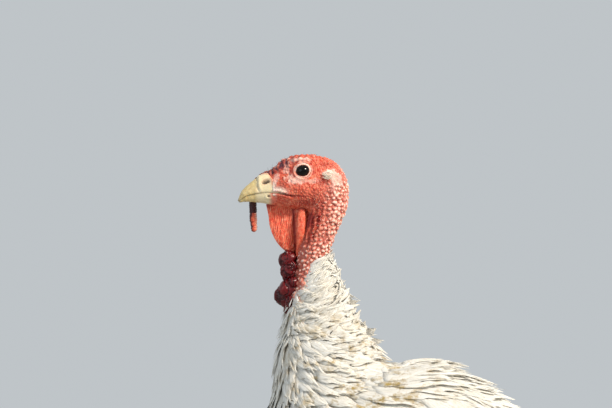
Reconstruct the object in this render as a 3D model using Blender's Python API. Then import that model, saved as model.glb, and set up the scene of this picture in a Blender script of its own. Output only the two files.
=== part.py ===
"""A domestic turkey, a young white tom, standing at rest: a still, life-size model.

Metres, +Z up. The bird faces -X and its left side is -Y. The origin is on the floor, at the middle of
the bird's length and width. Sizes are taken from the eye: X grows towards the tail and Z upwards.
"""

import math

import bmesh
import bpy
import numpy as np
from mathutils import Matrix, Vector

MM = 0.001
GAP = 0.3 * MM  # what touching pieces keep between them
EYE_HEIGHT = 841.6 * MM  # the eye above the floor, for a tom that stands 0.86 m tall

# The body's outline, from the root of the bill to the root of the tail. Each station is a section
# through the bird: its upper (or rear) point X, Z, its lower (or front) point X, Z, and half its
# width, all in mm.
STATIONS = {
    "bill root": (-41.0, -2.0, -32.0, -33.0, 9.5),
    "lores": (-24.0, 9.5, -21.0, -36.0, 13.6),
    "brow": (-5.0, 16.4, -9.0, -37.5, 16.6),
    "crown": (16.0, 15.4, 0.0, -38.6, 17.4),
    "back of crown": (34.5, 5.8, 4.0, -40.0, 17.2),
    "occiput": (43.0, -13.0, 5.5, -43.5, 17.0),
    "nape": (42.5, -36.0, 3.5, -51.0, 17.0),
    "upper neck": (31.5, -62.0, -3.0, -76.0, 17.0),
    "feather line": (25.5, -83.0, -9.0, -107.0, 18.0),
    "ruff top": (34.0, -107.0, -13.5, -130.0, 23.0),
    "ruff": (49.0, -138.0, -20.0, -156.0, 33.0),
    "neck base": (71.0, -172.0, -27.0, -184.0, 47.0),
    "shoulder": (94.0, -202.0, -32.0, -235.0, 65.0),
    "withers": (150.0, -210.0, -48.0, -300.0, 96.0),
    "breast": (225.0, -243.0, -74.0, -395.0, 126.0),
    "keel front": (300.0, -289.0, -38.0, -485.0, 138.0),
    "keel": (365.0, -331.0, 70.0, -545.0, 134.0),
    "belly": (418.0, -366.0, 200.0, -552.0, 117.0),
    "vent": (456.0, -391.0, 310.0, -513.0, 88.0),
    "rump": (482.0, -408.0, 390.0, -464.0, 58.0),
    "tail root": (497.0, -418.0, 438.0, -440.0, 34.0),
}
STATION_NAMES = list(STATIONS)
SECTION_SAG = 0.10  # how much wider a section is below its middle than above it

HEAD_SIDES = 18  # facets round the head and the bare neck
BODY_SIDES = 22  # facets round the feathered neck and the torso

EYE_SPREAD = 10.3 * MM  # eyeball centre from the middle of the head
EYE_RADIUS = 8.0 * MM
LID_RADIUS = 6.9 * MM
LID_SPREAD = 15.3 * MM  # the ring of the lids from the middle of the head
LID_THICKNESS = 1.5 * MM

# The line of the mouth from the tip of the bill to the gape: X, Z in mm.
MOUTH_LINE = (
    (-64.5, -30.2),
    (-57.5, -25.4),
    (-51.0, -23.4),
    (-44.0, -22.2),
    (-35.4, -21.5),
    (-24.0, -21.8),
    (-11.0, -25.0),
)
MOUTH_OPENING = 0.8 * MM
MOUTH_REACH = 25.0 * MM  # the slot of the mouth goes right through the head
# The upper and lower bill at the first five points of that line: ridge or keel X, Z and half the width.
UPPER_BILL = (
    (-65.3, -29.4, 0.8),
    (-61.4, -20.0, 4.6),
    (-55.2, -13.6, 6.8),
    (-48.4, -7.9, 8.6),
    (-41.6, -2.4, 9.3),
)
LOWER_BILL = (
    (-63.2, -30.9, 0.8),
    (-57.0, -30.2, 4.2),
    (-50.0, -30.5, 6.2),
    (-42.0, -31.0, 8.0),
    (-32.6, -33.2, 9.2),
)
BILL_SECTIONS = 9
BILL_ARCH = 0.85  # below 1, the sides of the bill are fuller than an ellipse
BILL_APART = 0.2  # each half of the bill from the line of the mouth, in mm
NOSTRIL_AT = (-43.5, 7.6, -10.6)  # X, distance to the side and Z in mm
NOSTRIL_SIZE = (4.2, 2.2, 1.1)  # half length, half depth, half height in mm
NOSTRIL_SLOPE = 17.0  # degrees
EAR_AT = (28.0, 16.6, -8.0)
EAR_SIZE = (5.0, 2.4, 4.0)

# The snood springs from the forehead and hangs over the right side of the bill: X, Y, Z and radius in mm.
SNOOD = (
    (-19.0, 1.0, 9.5, 5.0),
    (-29.0, 3.0, 6.5, 5.4),
    (-38.0, 7.0, 3.0, 5.0),
    (-45.5, 11.5, -4.0, 4.4),
    (-49.5, 13.6, -15.0, 3.9),
    (-50.5, 13.6, -29.0, 3.8),
    (-50.3, 12.8, -44.0, 3.8),
    (-49.4, 12.2, -55.0, 2.9),
    (-49.2, 12.0, -59.5, 1.0),
)
SNOOD_WRINKLE = 0.10  # how much the snood swells between its wrinkles, of its radius

# The dewlap, a thin flap under the throat: its front edge and its root on the throat and neck, X, Z in mm.
DEWLAP_EDGE = (
    (-37.0, -33.0),
    (-34.6, -44.0),
    (-33.4, -54.0),
    (-30.0, -64.0),
    (-24.5, -73.0),
    (-16.5, -80.5),
    (-8.5, -85.0),
)
DEWLAP_ROOT = (
    (-27.0, -31.0),
    (-14.0, -34.0),
    (-3.0, -38.0),
    (8.0, -45.0),
    (8.0, -58.0),
    (4.0, -70.0),
    (0.0, -80.0),
)
DEWLAP_SECTIONS = 11
DEWLAP_THICKNESS = 3.6 * MM
DEWLAP_PROFILE = ((0.0, 0.9), (0.4, 0.55), (0.9, 0.42), (1.0, 0.12))  # half thickness from root to edge
DEWLAP_FOLD = 2.5 * MM  # how far the flap waves to each side
DEWLAP_WAVE = (2.6, 0.75)  # radians of that wave from root to edge, and from section to section
THROAT_FOLD = ((5.0, -34.0), (0.5, -45.0), (-1.0, -58.0), (-2.0, -71.0), (-4.5, -84.0))
THROAT_FOLD_SECTIONS = 9
THROAT_FOLD_SPREAD = (12.5 * MM, 3.1 * MM)  # from the middle, at the upper and the lower end
THROAT_FOLD_RADIUS = (2.3 * MM, 4.2 * MM)  # at the ends and in the middle
THROAT_FOLD_FLAT = 0.6

# The large caruncles at the foot of the bare neck: X, distance to each side, Z and radius in mm.
CARUNCLES = (
    (-14.5, 0.0, -90.0, 9.5),
    (-15.0, 5.5, -101.0, 9.0),
    (-15.5, 6.0, -115.5, 9.5),
    (-18.0, 0.0, -125.0, 10.5),
    (-11.5, 8.0, -129.0, 7.5),
)
CARUNCLE_SHAPE = (1.0, 0.95, 1.05)  # its radii along X, Y and Z
# The small caruncles of the nape, in rows round the back of the neck and of the head.
NECK_BULB_ROWS = (6.3, 6.65, 7.0, 7.35, 7.7)
HEAD_BULB_ROWS = (5.3, 5.62)
NECK_BULB_ANGLES = tuple(range(-95, 70, 38))  # degrees from the back; each second row is half a step on
HEAD_BULB_ANGLES = tuple(range(-54, 45, 36))
BULB_RADIUS = (3.6 * MM, 4.8 * MM)
BULB_SINK = 0.45  # its middle below the skin, of its radius
BULB_SCATTER = (0.03, 4.0)  # stations along and degrees round
BULB_SEED = 5

THIGH_FLAT = 0.86  # its width, of its depth from front to rear
THIGH_SPREAD = (84.0, 74.0)  # the drumstick from the middle, at its top and at the hock
# The drumstick, from inside the body down to the hock: X, Z and radius in mm.
THIGH = (
    (145.0, -440.0, 62.0),
    (178.0, -500.0, 57.0),
    (208.0, -556.0, 43.0),
    (228.0, -600.0, 28.0),
    (240.0, -640.0, 15.5),
)
HOCK = (243.0, -74.0, -648.0)
ANKLE = (205.0, -74.0, -821.0)
BALL = (202.0, -74.0, -830.6)  # the ball of the foot
SHANK_RADIUS = 8.6 * MM
SHANK_FLAT = 0.82  # its width, of its depth from front to rear
HOCK_SWELL = (3.9 * MM, 0.09)  # how much thicker the hock is, and how far that reaches down the shank
ANKLE_SWELL = (2.2 * MM, 0.08)
SCUTES = 11
SCUTE_LIFT = 0.8 * MM
SPUR_PLACE = 0.34  # of the way up the shank
SPUR_LENGTH = 9.0 * MM
SPUR_RADIUS = 4.5 * MM
SPUR_AWAY = (0.75, 0.62, -0.1)  # backwards and inwards
# Toes: length to the root of the claw and angle from straight ahead, inwards positive.
TOES = {
    "inner": (58.0 * MM, 30.0),
    "middle": (84.0 * MM, 0.0),
    "outer": (62.0 * MM, -33.0),
    "hind": (30.0 * MM, 172.0),
}
PAD_SIZE = (13.0 * MM, 11.0 * MM, 12.0 * MM)
TOE_SECTIONS = 6
TOE_RADIUS = 7.4 * MM
TOE_TAPER = 0.30
TOE_KNUCKLE = 0.07  # how much thicker a toe is at its joints
TOE_RISE = (5.0 * MM, 0.25)  # how high it springs from the ball, and how far that reaches along it
TOE_FLAT = 1.6 * MM  # how much of each round toe the floor flattens
CLAW_LENGTH = 17.0 * MM
CLAW_ROOT = 4.0 * MM  # how far it goes into the toe
CLAW_RADIUS = 3.9 * MM
CLAW_DROP = 2.2 * MM
FLOOR_CUT = (0.4, 0.05)  # the side and depth of the block that flattens the toes

# The folded wing's outline on the body, from its front to its rear: station, upper and lower angle.
WING_OUTLINE = (
    (12.85, 69.0, 84.0),
    (13.15, 55.0, 100.0),
    (13.7, 48.0, 111.0),
    (14.6, 42.0, 117.0),
    (15.5, 38.0, 117.0),
    (16.4, 35.0, 112.0),
    (17.3, 33.0, 105.0),
    (18.2, 32.0, 96.0),
    (19.0, 34.0, 84.0),
)
# The height of the wing's flesh above the body, from its front to where it thins out, in mm.
WING_FLESH = (2.0, 13.0, 14.5, 12.0, 7.5, 1.5)
WING_FLESH_END = 0.54  # how far back the flesh reaches, of the wing's length
WING_SINK = 4.0 * MM  # how deep the wing reaches into the body before it is cut clear
# Each tier of wing feathers, under the next one: count; root and tip of the uppermost and of the lowest,
# as parts of the wing's length and depth; height above the body in mm; sections along each feather.
WING_TIERS = {
    "primaries": (5, (0.42, 0.40), (0.97, 0.30), (0.42, 0.90), (0.86, 0.86), 3.0, 6),
    "secondaries": (8, (0.25, 0.06), (0.86, 0.07), (0.25, 0.90), (0.70, 0.92), 7.2, 6),
    "greater coverts": (7, (0.11, 0.06), (0.48, 0.05), (0.11, 0.92), (0.42, 0.94), 11.2, 4),
    "median coverts": (6, (0.04, 0.12), (0.28, 0.07), (0.04, 0.88), (0.25, 0.93), 14.8, 4),
    "lesser coverts": (4, (-0.02, 0.22), (0.15, 0.13), (-0.02, 0.80), (0.13, 0.86), 17.6, 4),
}
WING_BOW = 0.035  # how much farther back the middle feathers of a tier reach, of the wing's length
VANE_OVERLAP = 0.57  # half the width of a wing feather, of the distance to the next
VANE_DEPTH = 0.8 * MM
SHINGLE_STEP = 2.4 * MM  # from the top of a feather to the top of the next one under it
FLIGHT_VANE = ((0.0, 0.5), (0.24, 0.9), (0.48, 1.0), (0.72, 1.0), (0.93, 0.8), (1.0, 0.3))
COVERT_VANE = ((0.0, 0.5), (0.45, 1.0), (0.85, 0.88), (1.0, 0.3))
ROOT_HEIGHT = 0.35  # a feather's root above the body, of its tier's height
WING_COVER = (9.0 * MM, 8.0 * MM)  # the wing over the thigh lies between these, above and below the body

TAIL_ROOT = (468.0, -418.0)
TAIL_LENGTH = 352.0 * MM
TAIL_DROP = 37.0  # degrees below level
TAIL_SAG = 12.0 * MM  # how far the tip bends below the straight line of the root
TAIL_PAIRS = 7
TAIL_TOP = 6.0 * MM  # the uppermost feather above the tail's middle line
TAIL_SPACING = (2.5 * MM, 9.0 * MM)  # from feather to feather, at the root and at the tip
TAIL_STEP = 1.5 * MM  # from the top of one tail feather to the top of the next
TAIL_ROLL = 0.8  # degrees that each feather slopes more to its side than the one above
TAIL_VANE = ((0.0, 0.5), (0.33, 0.9), (0.8, 1.0), (0.95, 0.8), (1.0, 0.4))
TAIL_WIDTH = 26.0 * MM  # half of one feather's width
TAIL_SPLIT = 0.35 * MM  # how far the feathers of each side keep from the middle line
TAIL_SHORTER = 0.006  # how much shorter each pair is than the one above, of the tail's length
TAIL_STUMP = (-0.13, 0.22)  # where the flesh and down at the root lie, of the tail's length
TAIL_STUMP_SIZE = (33.0 * MM, 20.0 * MM)  # half its width and depth at the root
TAIL_STUMP_TAPER = (0.2, 0.85)  # how much of each is gone at its end
TAIL_MARGIN = 4.0 * MM  # how far the wings keep from the root of the tail
# Each tier of coverts at the root of the tail: count, root and tip as parts of the tail's length, spacing
# and half width in mm, and height above the tail's middle line in mm.
TAIL_COVERTS = {
    "upper long": (7, 0.03, 0.44, 9.5, 14.0, 9.6),
    "upper short": (5, -0.01, 0.29, 10.5, 13.5, 12.8),
    "lower": (5, 0.02, 0.40, 10.5, 14.0, -13.0),
}
COVERT_SINK = 6.0 * MM
COVERT_STEP = 1.15 * MM  # from one covert to the next, outwards
COVERT_SPREAD = 0.45  # how much wider they spread at their tips
COVERT_SHORTER = 0.012

# The ruffled feathers of the lower neck, tier by tier: station, count on each side, and which way they
# lie, as a step down the neck in stations and degrees towards the back.
RUFF_TIERS = (
    (8.55, 3, 0.02, 34.0),
    (9.3, 4, 0.15, 28.0),
    (10.1, 4, 0.35, 20.0),
    (10.9, 4, 0.60, 12.0),
)
RUFF_STEPS = (0.0, 0.35, 0.7, 1.0)
RUFF_WIDTHS = (8.0 * MM, 10.0 * MM, 7.0 * MM, 0.8 * MM)  # half widths at those steps
RUFF_LIFT = (-5.0 * MM, 2.0 * MM, 3.2 * MM, 6.0 * MM)  # heights of the ridge above the neck
RUFF_DEPTH = 2.6 * MM
RUFF_ROUND = 172.0  # degrees from the back within which they grow
RUFF_DOWN = 0.55  # stations that those of the front step down
RUFF_FRONT = (140.0, 9.9)  # none where the large caruncles hang: degrees from the back, and last station
RUFF_SEED = 11

BEARD_STATIONS = (12.27, 13.75)  # the stations that the beard hangs between
BEARD_LOCKS = 5
BEARD_RADIUS = 3.0 * MM  # of one lock at its root
BEARD_ROOT_RADIUS = 5.5 * MM
BEARD_BOW = 8.0 * MM  # how far the locks stand off the breast
BEARD_SPREAD = 4.0  # degrees round the breast between two locks' tips
BEARD_SHORTER = 0.10  # how much shorter each lock is than the one before, in threes


def clear_scene():
    for obj in list(bpy.data.objects):
        bpy.data.objects.remove(obj)


def make_material(name, colour, roughness):
    material = bpy.data.materials.new(name)
    material.use_nodes = True
    shader = material.node_tree.nodes["Principled BSDF"]
    shader.inputs["Base Color"].default_value = (*colour, 1.0)
    shader.inputs["Roughness"].default_value = roughness
    shader.inputs["Metallic"].default_value = 0.0
    return material


def at(x, y, z):
    """A point given in mm from the eye, in metres above the floor."""
    return np.array([x * MM, y * MM, z * MM + EYE_HEIGHT])


def make_object(name, points, faces, material=None):
    mesh = bpy.data.meshes.new(name)
    mesh.from_pydata([tuple(p) for p in points], [], faces)
    shell = bmesh.new()
    shell.from_mesh(mesh)
    bmesh.ops.triangulate(shell, faces=shell.faces[:])
    bmesh.ops.recalc_face_normals(shell, faces=shell.faces[:])
    shell.to_mesh(mesh)
    shell.free()
    obj = bpy.data.objects.new(name, mesh)
    bpy.context.scene.collection.objects.link(obj)
    if material is not None:
        mesh.materials.append(material)
    return obj


def loft(name, rings, material=None):
    """A closed body through rings of equally many points."""
    points = np.concatenate(rings)
    sides = len(rings[0])
    faces = []
    for i in range(len(rings) - 1):
        for j in range(sides):
            k = (j + 1) % sides
            a, b = i * sides, (i + 1) * sides
            faces.append((a + j, a + k, b + k, b + j))
    end = (len(rings) - 1) * sides
    faces.append(tuple(range(sides))[::-1])
    faces.append(tuple(range(end, end + sides)))
    return make_object(name, points, faces, material)


def plate(name, over, under, material=None):
    """A closed piece between two grids of points, both split into triangles the same way."""
    rows, columns = over.shape[:2]
    points = np.concatenate([under.reshape(-1, 3), over.reshape(-1, 3)])
    top = rows * columns
    faces = []
    for i in range(rows - 1):
        for j in range(columns - 1):
            a, d = i * columns + j, (i + 1) * columns + j
            b, c = a + 1, d + 1
            faces += [(a, b, c), (a, c, d), (top + a, top + c, top + b), (top + a, top + d, top + c)]
    rim = list(range(columns)) + [i * columns + columns - 1 for i in range(1, rows)]
    rim += [(rows - 1) * columns + j for j in range(columns - 2, -1, -1)]
    rim += [i * columns for i in range(rows - 2, 0, -1)]
    for a, b in zip(rim, rim[1:] + rim[:1]):
        faces += [(b, a, top + a), (b, top + a, top + b)]
    return make_object(name, points, faces, material)


def vane(path, normals, half_widths, depth, tilt=0.0, limits=(np.inf, np.inf)):
    """A closed, flat feather vane along path, thinner at its tip. tilt raises the edge on the side of
    tangent x normal. limits are the most that it may reach from its shaft, away from that side and
    towards it."""
    tangents = np.gradient(path, axis=0)
    sides = np.cross(tangents, normals)
    sides /= np.linalg.norm(sides, axis=1, keepdims=True)
    columns = []
    for reach in (-np.minimum(half_widths, limits[0]), np.minimum(half_widths, limits[1])):
        columns.append(path + sides * reach[:, None] + normals * (tilt * reach)[:, None])
    over = np.stack(columns, 1)
    thickness = np.full(len(path), depth)
    thickness[-1] *= 0.6
    return plate("vane", over, over - normals[:, None] * thickness[:, None, None])


def lock(path, normals, half_widths, depth):
    """A closed tapered lock: a flat triangular section whose ridge follows path."""
    tangents = np.gradient(path, axis=0)
    sides = np.cross(tangents, normals)
    sides /= np.linalg.norm(sides, axis=1, keepdims=True)
    rings = []
    for point, side, normal, width in zip(path, sides, normals, half_widths):
        base = point - normal * depth * min(1.0, width / half_widths.max() + 0.25)
        rings.append(np.array([point, base - side * width, base + side * width]))
    return loft("lock", rings)


def smooth(values, steps):
    """Catmull-Rom values between rows of numbers, at fractional row numbers."""
    rows = np.asarray(values, float)
    padded = np.concatenate([[2 * rows[0] - rows[1]], rows, [2 * rows[-1] - rows[-2]]])
    steps = np.atleast_1d(np.asarray(steps, float))
    i = np.clip(np.floor(steps).astype(int), 0, len(rows) - 2)
    t = (steps - i)[..., None]
    p0, p1, p2, p3 = padded[i], padded[i + 1], padded[i + 2], padded[i + 3]
    square = (2 * p0 - 5 * p1 + 4 * p2 - p3) * t**2
    cube = (3 * p1 - p0 - 3 * p2 + p3) * t**3
    return 0.5 * (2 * p1 + (p2 - p0) * t + square + cube)


def station(name):
    return float(STATION_NAMES.index(name))


def body_points(s, angle, lift=0.0):
    """Points of the body's surface: s counts stations, and angle in degrees runs from the back (0) down
    the left side to the breast (180). lift is the height above the surface."""
    s, angle, lift = np.broadcast_arrays(*(np.asarray(value, float) for value in (s, angle, lift)))

    def surface(s, angle):
        row = smooth(list(STATIONS.values()), s.ravel()).reshape(*s.shape, 5) * MM
        turn = np.radians(angle)
        middle = (row[..., 0:2] + row[..., 2:4]) / 2
        reach = (row[..., 0:2] - row[..., 2:4]) / 2
        x = middle[..., 0] + reach[..., 0] * np.cos(turn)
        z = middle[..., 1] + reach[..., 1] * np.cos(turn) + EYE_HEIGHT
        y = -row[..., 4] * np.sin(turn) * (1 - SECTION_SAG * np.cos(turn))
        return np.stack([x, y, z], -1)

    points = surface(s, angle)
    along = surface(s + 0.02, angle) - surface(s - 0.02, angle)
    around = surface(s, angle + 1) - surface(s, angle - 1)
    normal = np.cross(around, along)
    normal /= np.linalg.norm(normal, axis=-1, keepdims=True)
    return points + normal * lift[..., None]


def body_ring(s, sides, shift=0.0):
    """One section of the body, moved by shift along its own normal, towards the tail."""
    ring = body_points(s, np.arange(sides) * 360.0 / sides)
    normal = np.cross(ring[sides // 4] - ring[0], ring[sides // 2] - ring[0])
    normal /= np.linalg.norm(normal)
    ahead = body_points(s + 0.1, [0.0, 180.0]).mean(0) - body_points(s - 0.1, [0.0, 180.0]).mean(0)
    return ring + normal * shift * np.sign(normal @ ahead)


def body_length(name, first, last, rings, sides, material):
    """A length of the body between two sections, half a gap short of each."""
    steps = np.linspace(first, last, rings)
    loops = [body_ring(s, sides) for s in steps]
    loops[0] = body_ring(first, sides, GAP / 2)
    loops[-1] = body_ring(last, sides, -GAP / 2)
    return loft(name, loops, material)


def tube(name, path, radii, sides, material=None, flat=1.0, side_axis=(0.0, 1.0, 0.0)):
    """A round tube along path. flat makes it thinner across side_axis."""
    path = np.asarray(path, float)
    tangents = np.gradient(path, axis=0)
    tangents /= np.linalg.norm(tangents, axis=1, keepdims=True)
    rings = []
    for point, tangent, radius in zip(path, tangents, radii):
        side = np.asarray(side_axis) - tangent * (np.asarray(side_axis) @ tangent)
        side /= np.linalg.norm(side)
        up = np.cross(tangent, side)
        turn = np.arange(sides) * 2 * np.pi / sides
        rings.append(point + radius * (np.outer(np.cos(turn), up) + flat * np.outer(np.sin(turn), side)))
    return loft(name, rings, material)


def ellipsoid(name, centre, radii, axes=None, sides=10, rings=6, material=None):
    """A closed ellipsoid; axes are the directions of its three radii, as rows."""
    axes = np.eye(3) if axes is None else np.asarray(axes, float)
    points = [np.array([0.0, 0.0, 1.0])]
    for i in range(1, rings):
        rise = math.pi * i / rings
        for j in range(sides):
            turn = 2 * math.pi * (j + 0.5 * (i % 2)) / sides
            flat = math.sin(rise) * np.array([math.cos(turn), math.sin(turn), 0.0])
            points.append(flat + np.array([0.0, 0.0, math.cos(rise)]))
    points.append(np.array([0.0, 0.0, -1.0]))
    faces = []
    last = len(points) - 1
    for j in range(sides):
        k = (j + 1) % sides
        faces.append((0, 1 + j, 1 + k))
        for i in range(rings - 2):
            a, b = 1 + i * sides, 1 + (i + 1) * sides
            faces.append((a + j, b + j, b + k, a + k))
        faces.append((last, last - sides + k, last - sides + j))
    points = (np.array(points) * np.asarray(radii)) @ axes + centre
    return make_object(name, points, faces, material)


def combine(target, others, operation):
    """Joins closed objects to target, or cuts them from it, in one Boolean, and removes them."""
    group = bpy.data.collections.new("operands")
    bpy.context.scene.collection.children.link(group)
    for other in others:
        bpy.context.scene.collection.objects.unlink(other)
        group.objects.link(other)
    modifier = target.modifiers.new("combine", "BOOLEAN")
    modifier.operation = operation
    modifier.solver = "EXACT"
    modifier.operand_type = "COLLECTION"
    modifier.collection = group
    graph = bpy.context.evaluated_depsgraph_get()
    graph.update()
    mesh = bpy.data.meshes.new_from_object(target.evaluated_get(graph))
    target.modifiers.clear()
    old = target.data
    target.data = mesh
    bpy.data.meshes.remove(old)
    for other in others:
        bpy.data.objects.remove(other)
    bpy.data.collections.remove(group)
    keep_largest(target)
    return target


def keep_largest(obj):
    """Drops everything but the largest closed surface of an object."""
    shell = bmesh.new()
    shell.from_mesh(obj.data)
    bmesh.ops.triangulate(shell, faces=shell.faces[:])
    left = set(shell.faces)
    groups = []
    while left:
        group = {left.pop()}
        edge = list(group)
        while edge:
            for side in edge.pop().edges:
                for face in side.link_faces:
                    if face in left:
                        left.remove(face)
                        group.add(face)
                        edge.append(face)
        groups.append(group)
    largest = max(groups, key=lambda group: sum(face.calc_area() for face in group))
    spare = [face for face in shell.faces if face not in largest]
    bmesh.ops.delete(shell, geom=spare, context="FACES")
    shell.to_mesh(obj.data)
    shell.free()


def grown(obj, amount=GAP):
    """A copy of obj with its surface moved out by amount, to cut a neighbour clear of it."""
    copy = bpy.data.objects.new(obj.name + "_grown", obj.data.copy())
    bpy.context.scene.collection.objects.link(copy)
    shell = bmesh.new()
    shell.from_mesh(copy.data)
    shell.normal_update()
    moved = [vertex.co + vertex.normal * amount * vertex.calc_shell_factor() for vertex in shell.verts]
    for vertex, place in zip(shell.verts, moved):
        vertex.co = place
    shell.to_mesh(copy.data)
    shell.free()
    return copy


def mirrored(obj, name):
    """The same piece on the right side."""
    mesh = obj.data.copy()
    mesh.transform(Matrix.Scale(-1, 4, (0, 1, 0)))
    mesh.flip_normals()
    copy = bpy.data.objects.new(name, mesh)
    bpy.context.scene.collection.objects.link(copy)
    return copy


def make_bill(material):
    """The upper and lower bill: arches that rise from, or hang from, the line of the mouth."""
    made = []
    arch = np.radians(np.linspace(-90, 90, 11))
    for name, rows, side in (("bill_upper", UPPER_BILL, 1), ("bill_lower", LOWER_BILL, -1)):
        steps = np.linspace(0, len(rows) - 1, BILL_SECTIONS)
        ridge = smooth(rows, steps)
        mouth = smooth(MOUTH_LINE[: len(rows)], steps)
        rings = []
        for (x, z, half), (mouth_x, mouth_z) in zip(ridge, mouth):
            base = at(mouth_x, 0, mouth_z + side * BILL_APART)
            top = at(x, 0, z)
            ring = base + np.outer(np.cos(arch) ** BILL_ARCH, top - base)
            ring[:, 1] = half * MM * np.sin(arch)
            rings.append(ring)
        made.append(loft(name, rings, material))
    upper, lower = made
    slope = math.radians(NOSTRIL_SLOPE)
    axes = ((math.cos(slope), 0, math.sin(slope)), (0, 1, 0), (-math.sin(slope), 0, math.cos(slope)))
    x, y, z = NOSTRIL_AT
    radii = np.array(NOSTRIL_SIZE) * MM
    nostrils = [ellipsoid("nostril", at(x, side * y, z), radii, axes, 8, 6) for side in (-1, 1)]
    combine(upper, nostrils, "DIFFERENCE")
    return upper, lower


def make_head(material, eye_material):
    """The head down to the nape, with its lids, ear cups, mouth and eye sockets, and the two eyes."""
    head = body_length("head", station("bill root"), station("nape"), 13, HEAD_SIDES, material)
    lids = []
    for side in (-1, 1):
        turn = np.arange(12) * 2 * np.pi / 12
        centre = at(0, 0, 0) + np.array([0, side * LID_SPREAD, 0])
        ring = centre + LID_RADIUS * np.stack([np.cos(turn), 0 * turn, np.sin(turn)], -1)
        lids.append(torus("lid", ring, LID_THICKNESS, 5))
    combine(head, lids, "UNION")
    sideways = ((1, 0, 0), (0, 0, -1), (0, 1, 0))
    eyes = []
    for word, side in (("left", -1), ("right", 1)):
        centre = at(0, 0, 0) + np.array([0, side * EYE_SPREAD, 0])
        eyes.append(ellipsoid("eye_" + word, centre, [EYE_RADIUS] * 3, sideways, 12, 8, eye_material))
    cutters = [grown(eye) for eye in eyes]
    x, y, z = EAR_AT
    for side in (-1, 1):
        cutters.append(ellipsoid("ear", at(x, side * y, z), np.array(EAR_SIZE) * MM, None, 10, 6))
    cutters.append(mouth_slot())
    combine(head, cutters, "DIFFERENCE")
    combine(head, small_caruncles(HEAD_BULB_ROWS, HEAD_BULB_ANGLES), "UNION")
    return head, eyes


def small_caruncles(rows, angles):
    """Bulbs half sunk in the skin, in staggered rows round the neck."""
    draw = np.random.default_rng(BULB_SEED)
    bulbs = []
    for row, s in enumerate(rows):
        for angle in angles:
            turn = angle + (angles[1] - angles[0]) * 0.5 * (row % 2)
            radius = draw.uniform(*BULB_RADIUS)
            s_here = s + draw.uniform(-1, 1) * BULB_SCATTER[0]
            turn_here = turn + draw.uniform(-1, 1) * BULB_SCATTER[1]
            centre, away = lie_on_body(s_here, turn_here, -BULB_SINK * radius)
            side = np.cross(away, (0.3, 0.2, 1.0))
            side /= np.linalg.norm(side)
            axes = (side, np.cross(away, side), away)
            bulbs.append(ellipsoid("bulb", centre, [radius, radius, radius * 1.1], axes, 6, 3))
    return bulbs


def torus(name, ring, radius, sides):
    """A closed tube round a ring of points."""
    count = len(ring)
    centre = ring.mean(0)
    normal = np.cross(ring[1] - ring[0], ring[2] - ring[0])
    normal /= np.linalg.norm(normal)
    turn = np.arange(sides) * 2 * np.pi / sides
    points = []
    for point in ring:
        out = (point - centre) / np.linalg.norm(point - centre)
        points += list(point + radius * (np.outer(np.cos(turn), out) + np.outer(np.sin(turn), normal)))
    faces = []
    for i in range(count):
        for j in range(sides):
            a, b = i * sides, (i + 1) % count * sides
            k = (j + 1) % sides
            faces.append((a + j, a + k, b + k, b + j))
    return make_object(name, points, faces)


def mouth_slot():
    """A thin slab along the line of the mouth, from before the head to the gape."""
    line = smooth(MOUTH_LINE, np.linspace(3.4, len(MOUTH_LINE) - 1, 7))
    corners = np.array([(0, -1, -0.5), (0, 1, -0.5), (0, 1, 0.5), (0, -1, 0.5)])
    section = corners * np.array([0, MOUTH_REACH, MOUTH_OPENING])
    return loft("mouth", [at(x, 0, z) + section for x, z in line])


def make_neck(skin, feathers):
    """The bare upper neck and the feathered lower neck."""
    line = station("feather line")
    upper = body_length("neck_upper", station("nape"), line, 7, HEAD_SIDES, skin)
    lower = body_length("neck_lower", line, station("shoulder"), 7, BODY_SIDES, feathers)
    return upper, lower


def add_ruff(neck, torso):
    """The ruffled feathers of the lower neck, as tapered locks that bend towards the back."""
    draw = np.random.default_rng(RUFF_SEED)
    steps = np.array(RUFF_STEPS)
    locks = []
    for row, (s, count, down, back) in enumerate(RUFF_TIERS):
        for side in (-1, 1):
            for i in range(count):
                angle = RUFF_ROUND * (i + 0.2 + 0.6 * (row % 2)) / count + draw.uniform(-4, 4)
                if angle > RUFF_FRONT[0] and s < RUFF_FRONT[1]:
                    continue
                front = max(0.0, (angle - 110) / 70)
                to_back = back * (1 - front) * draw.uniform(0.75, 1.2) * min(1.0, angle / 40)
                to_tail = down + (RUFF_DOWN - down) * front + draw.uniform(-0.05, 0.05)
                place_s = s + to_tail * steps
                place_angle = side * (angle - to_back * steps)
                lift = np.array(RUFF_LIFT) * draw.uniform(0.8, 1.25)
                path, normals = lie_on_body(place_s, place_angle, lift)
                widths = np.array(RUFF_WIDTHS) * draw.uniform(0.85, 1.1)
                locks.append(lock(path, normals, widths, RUFF_DEPTH))
    combine(neck, locks, "UNION")
    return combine(neck, [grown(torso)], "DIFFERENCE")


def make_torso(material):
    return body_length("torso", station("shoulder"), station("tail root"), 17, BODY_SIDES, material)


def make_snood(material, head, bill):
    """The snood, wrinkled across, cut clear of the head and the bill that it lies against."""
    steps = np.linspace(0, len(SNOOD) - 1, 19)
    path = smooth(SNOOD, steps)
    radii = path[:, 3] * MM * (1 + SNOOD_WRINKLE * np.cos(np.pi * np.arange(len(steps))))
    snood = tube("snood", [at(x, y, z) for x, y, z, _ in path], radii, 7, material, 0.9)
    return combine(snood, [grown(head), grown(bill)], "DIFFERENCE")


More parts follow.
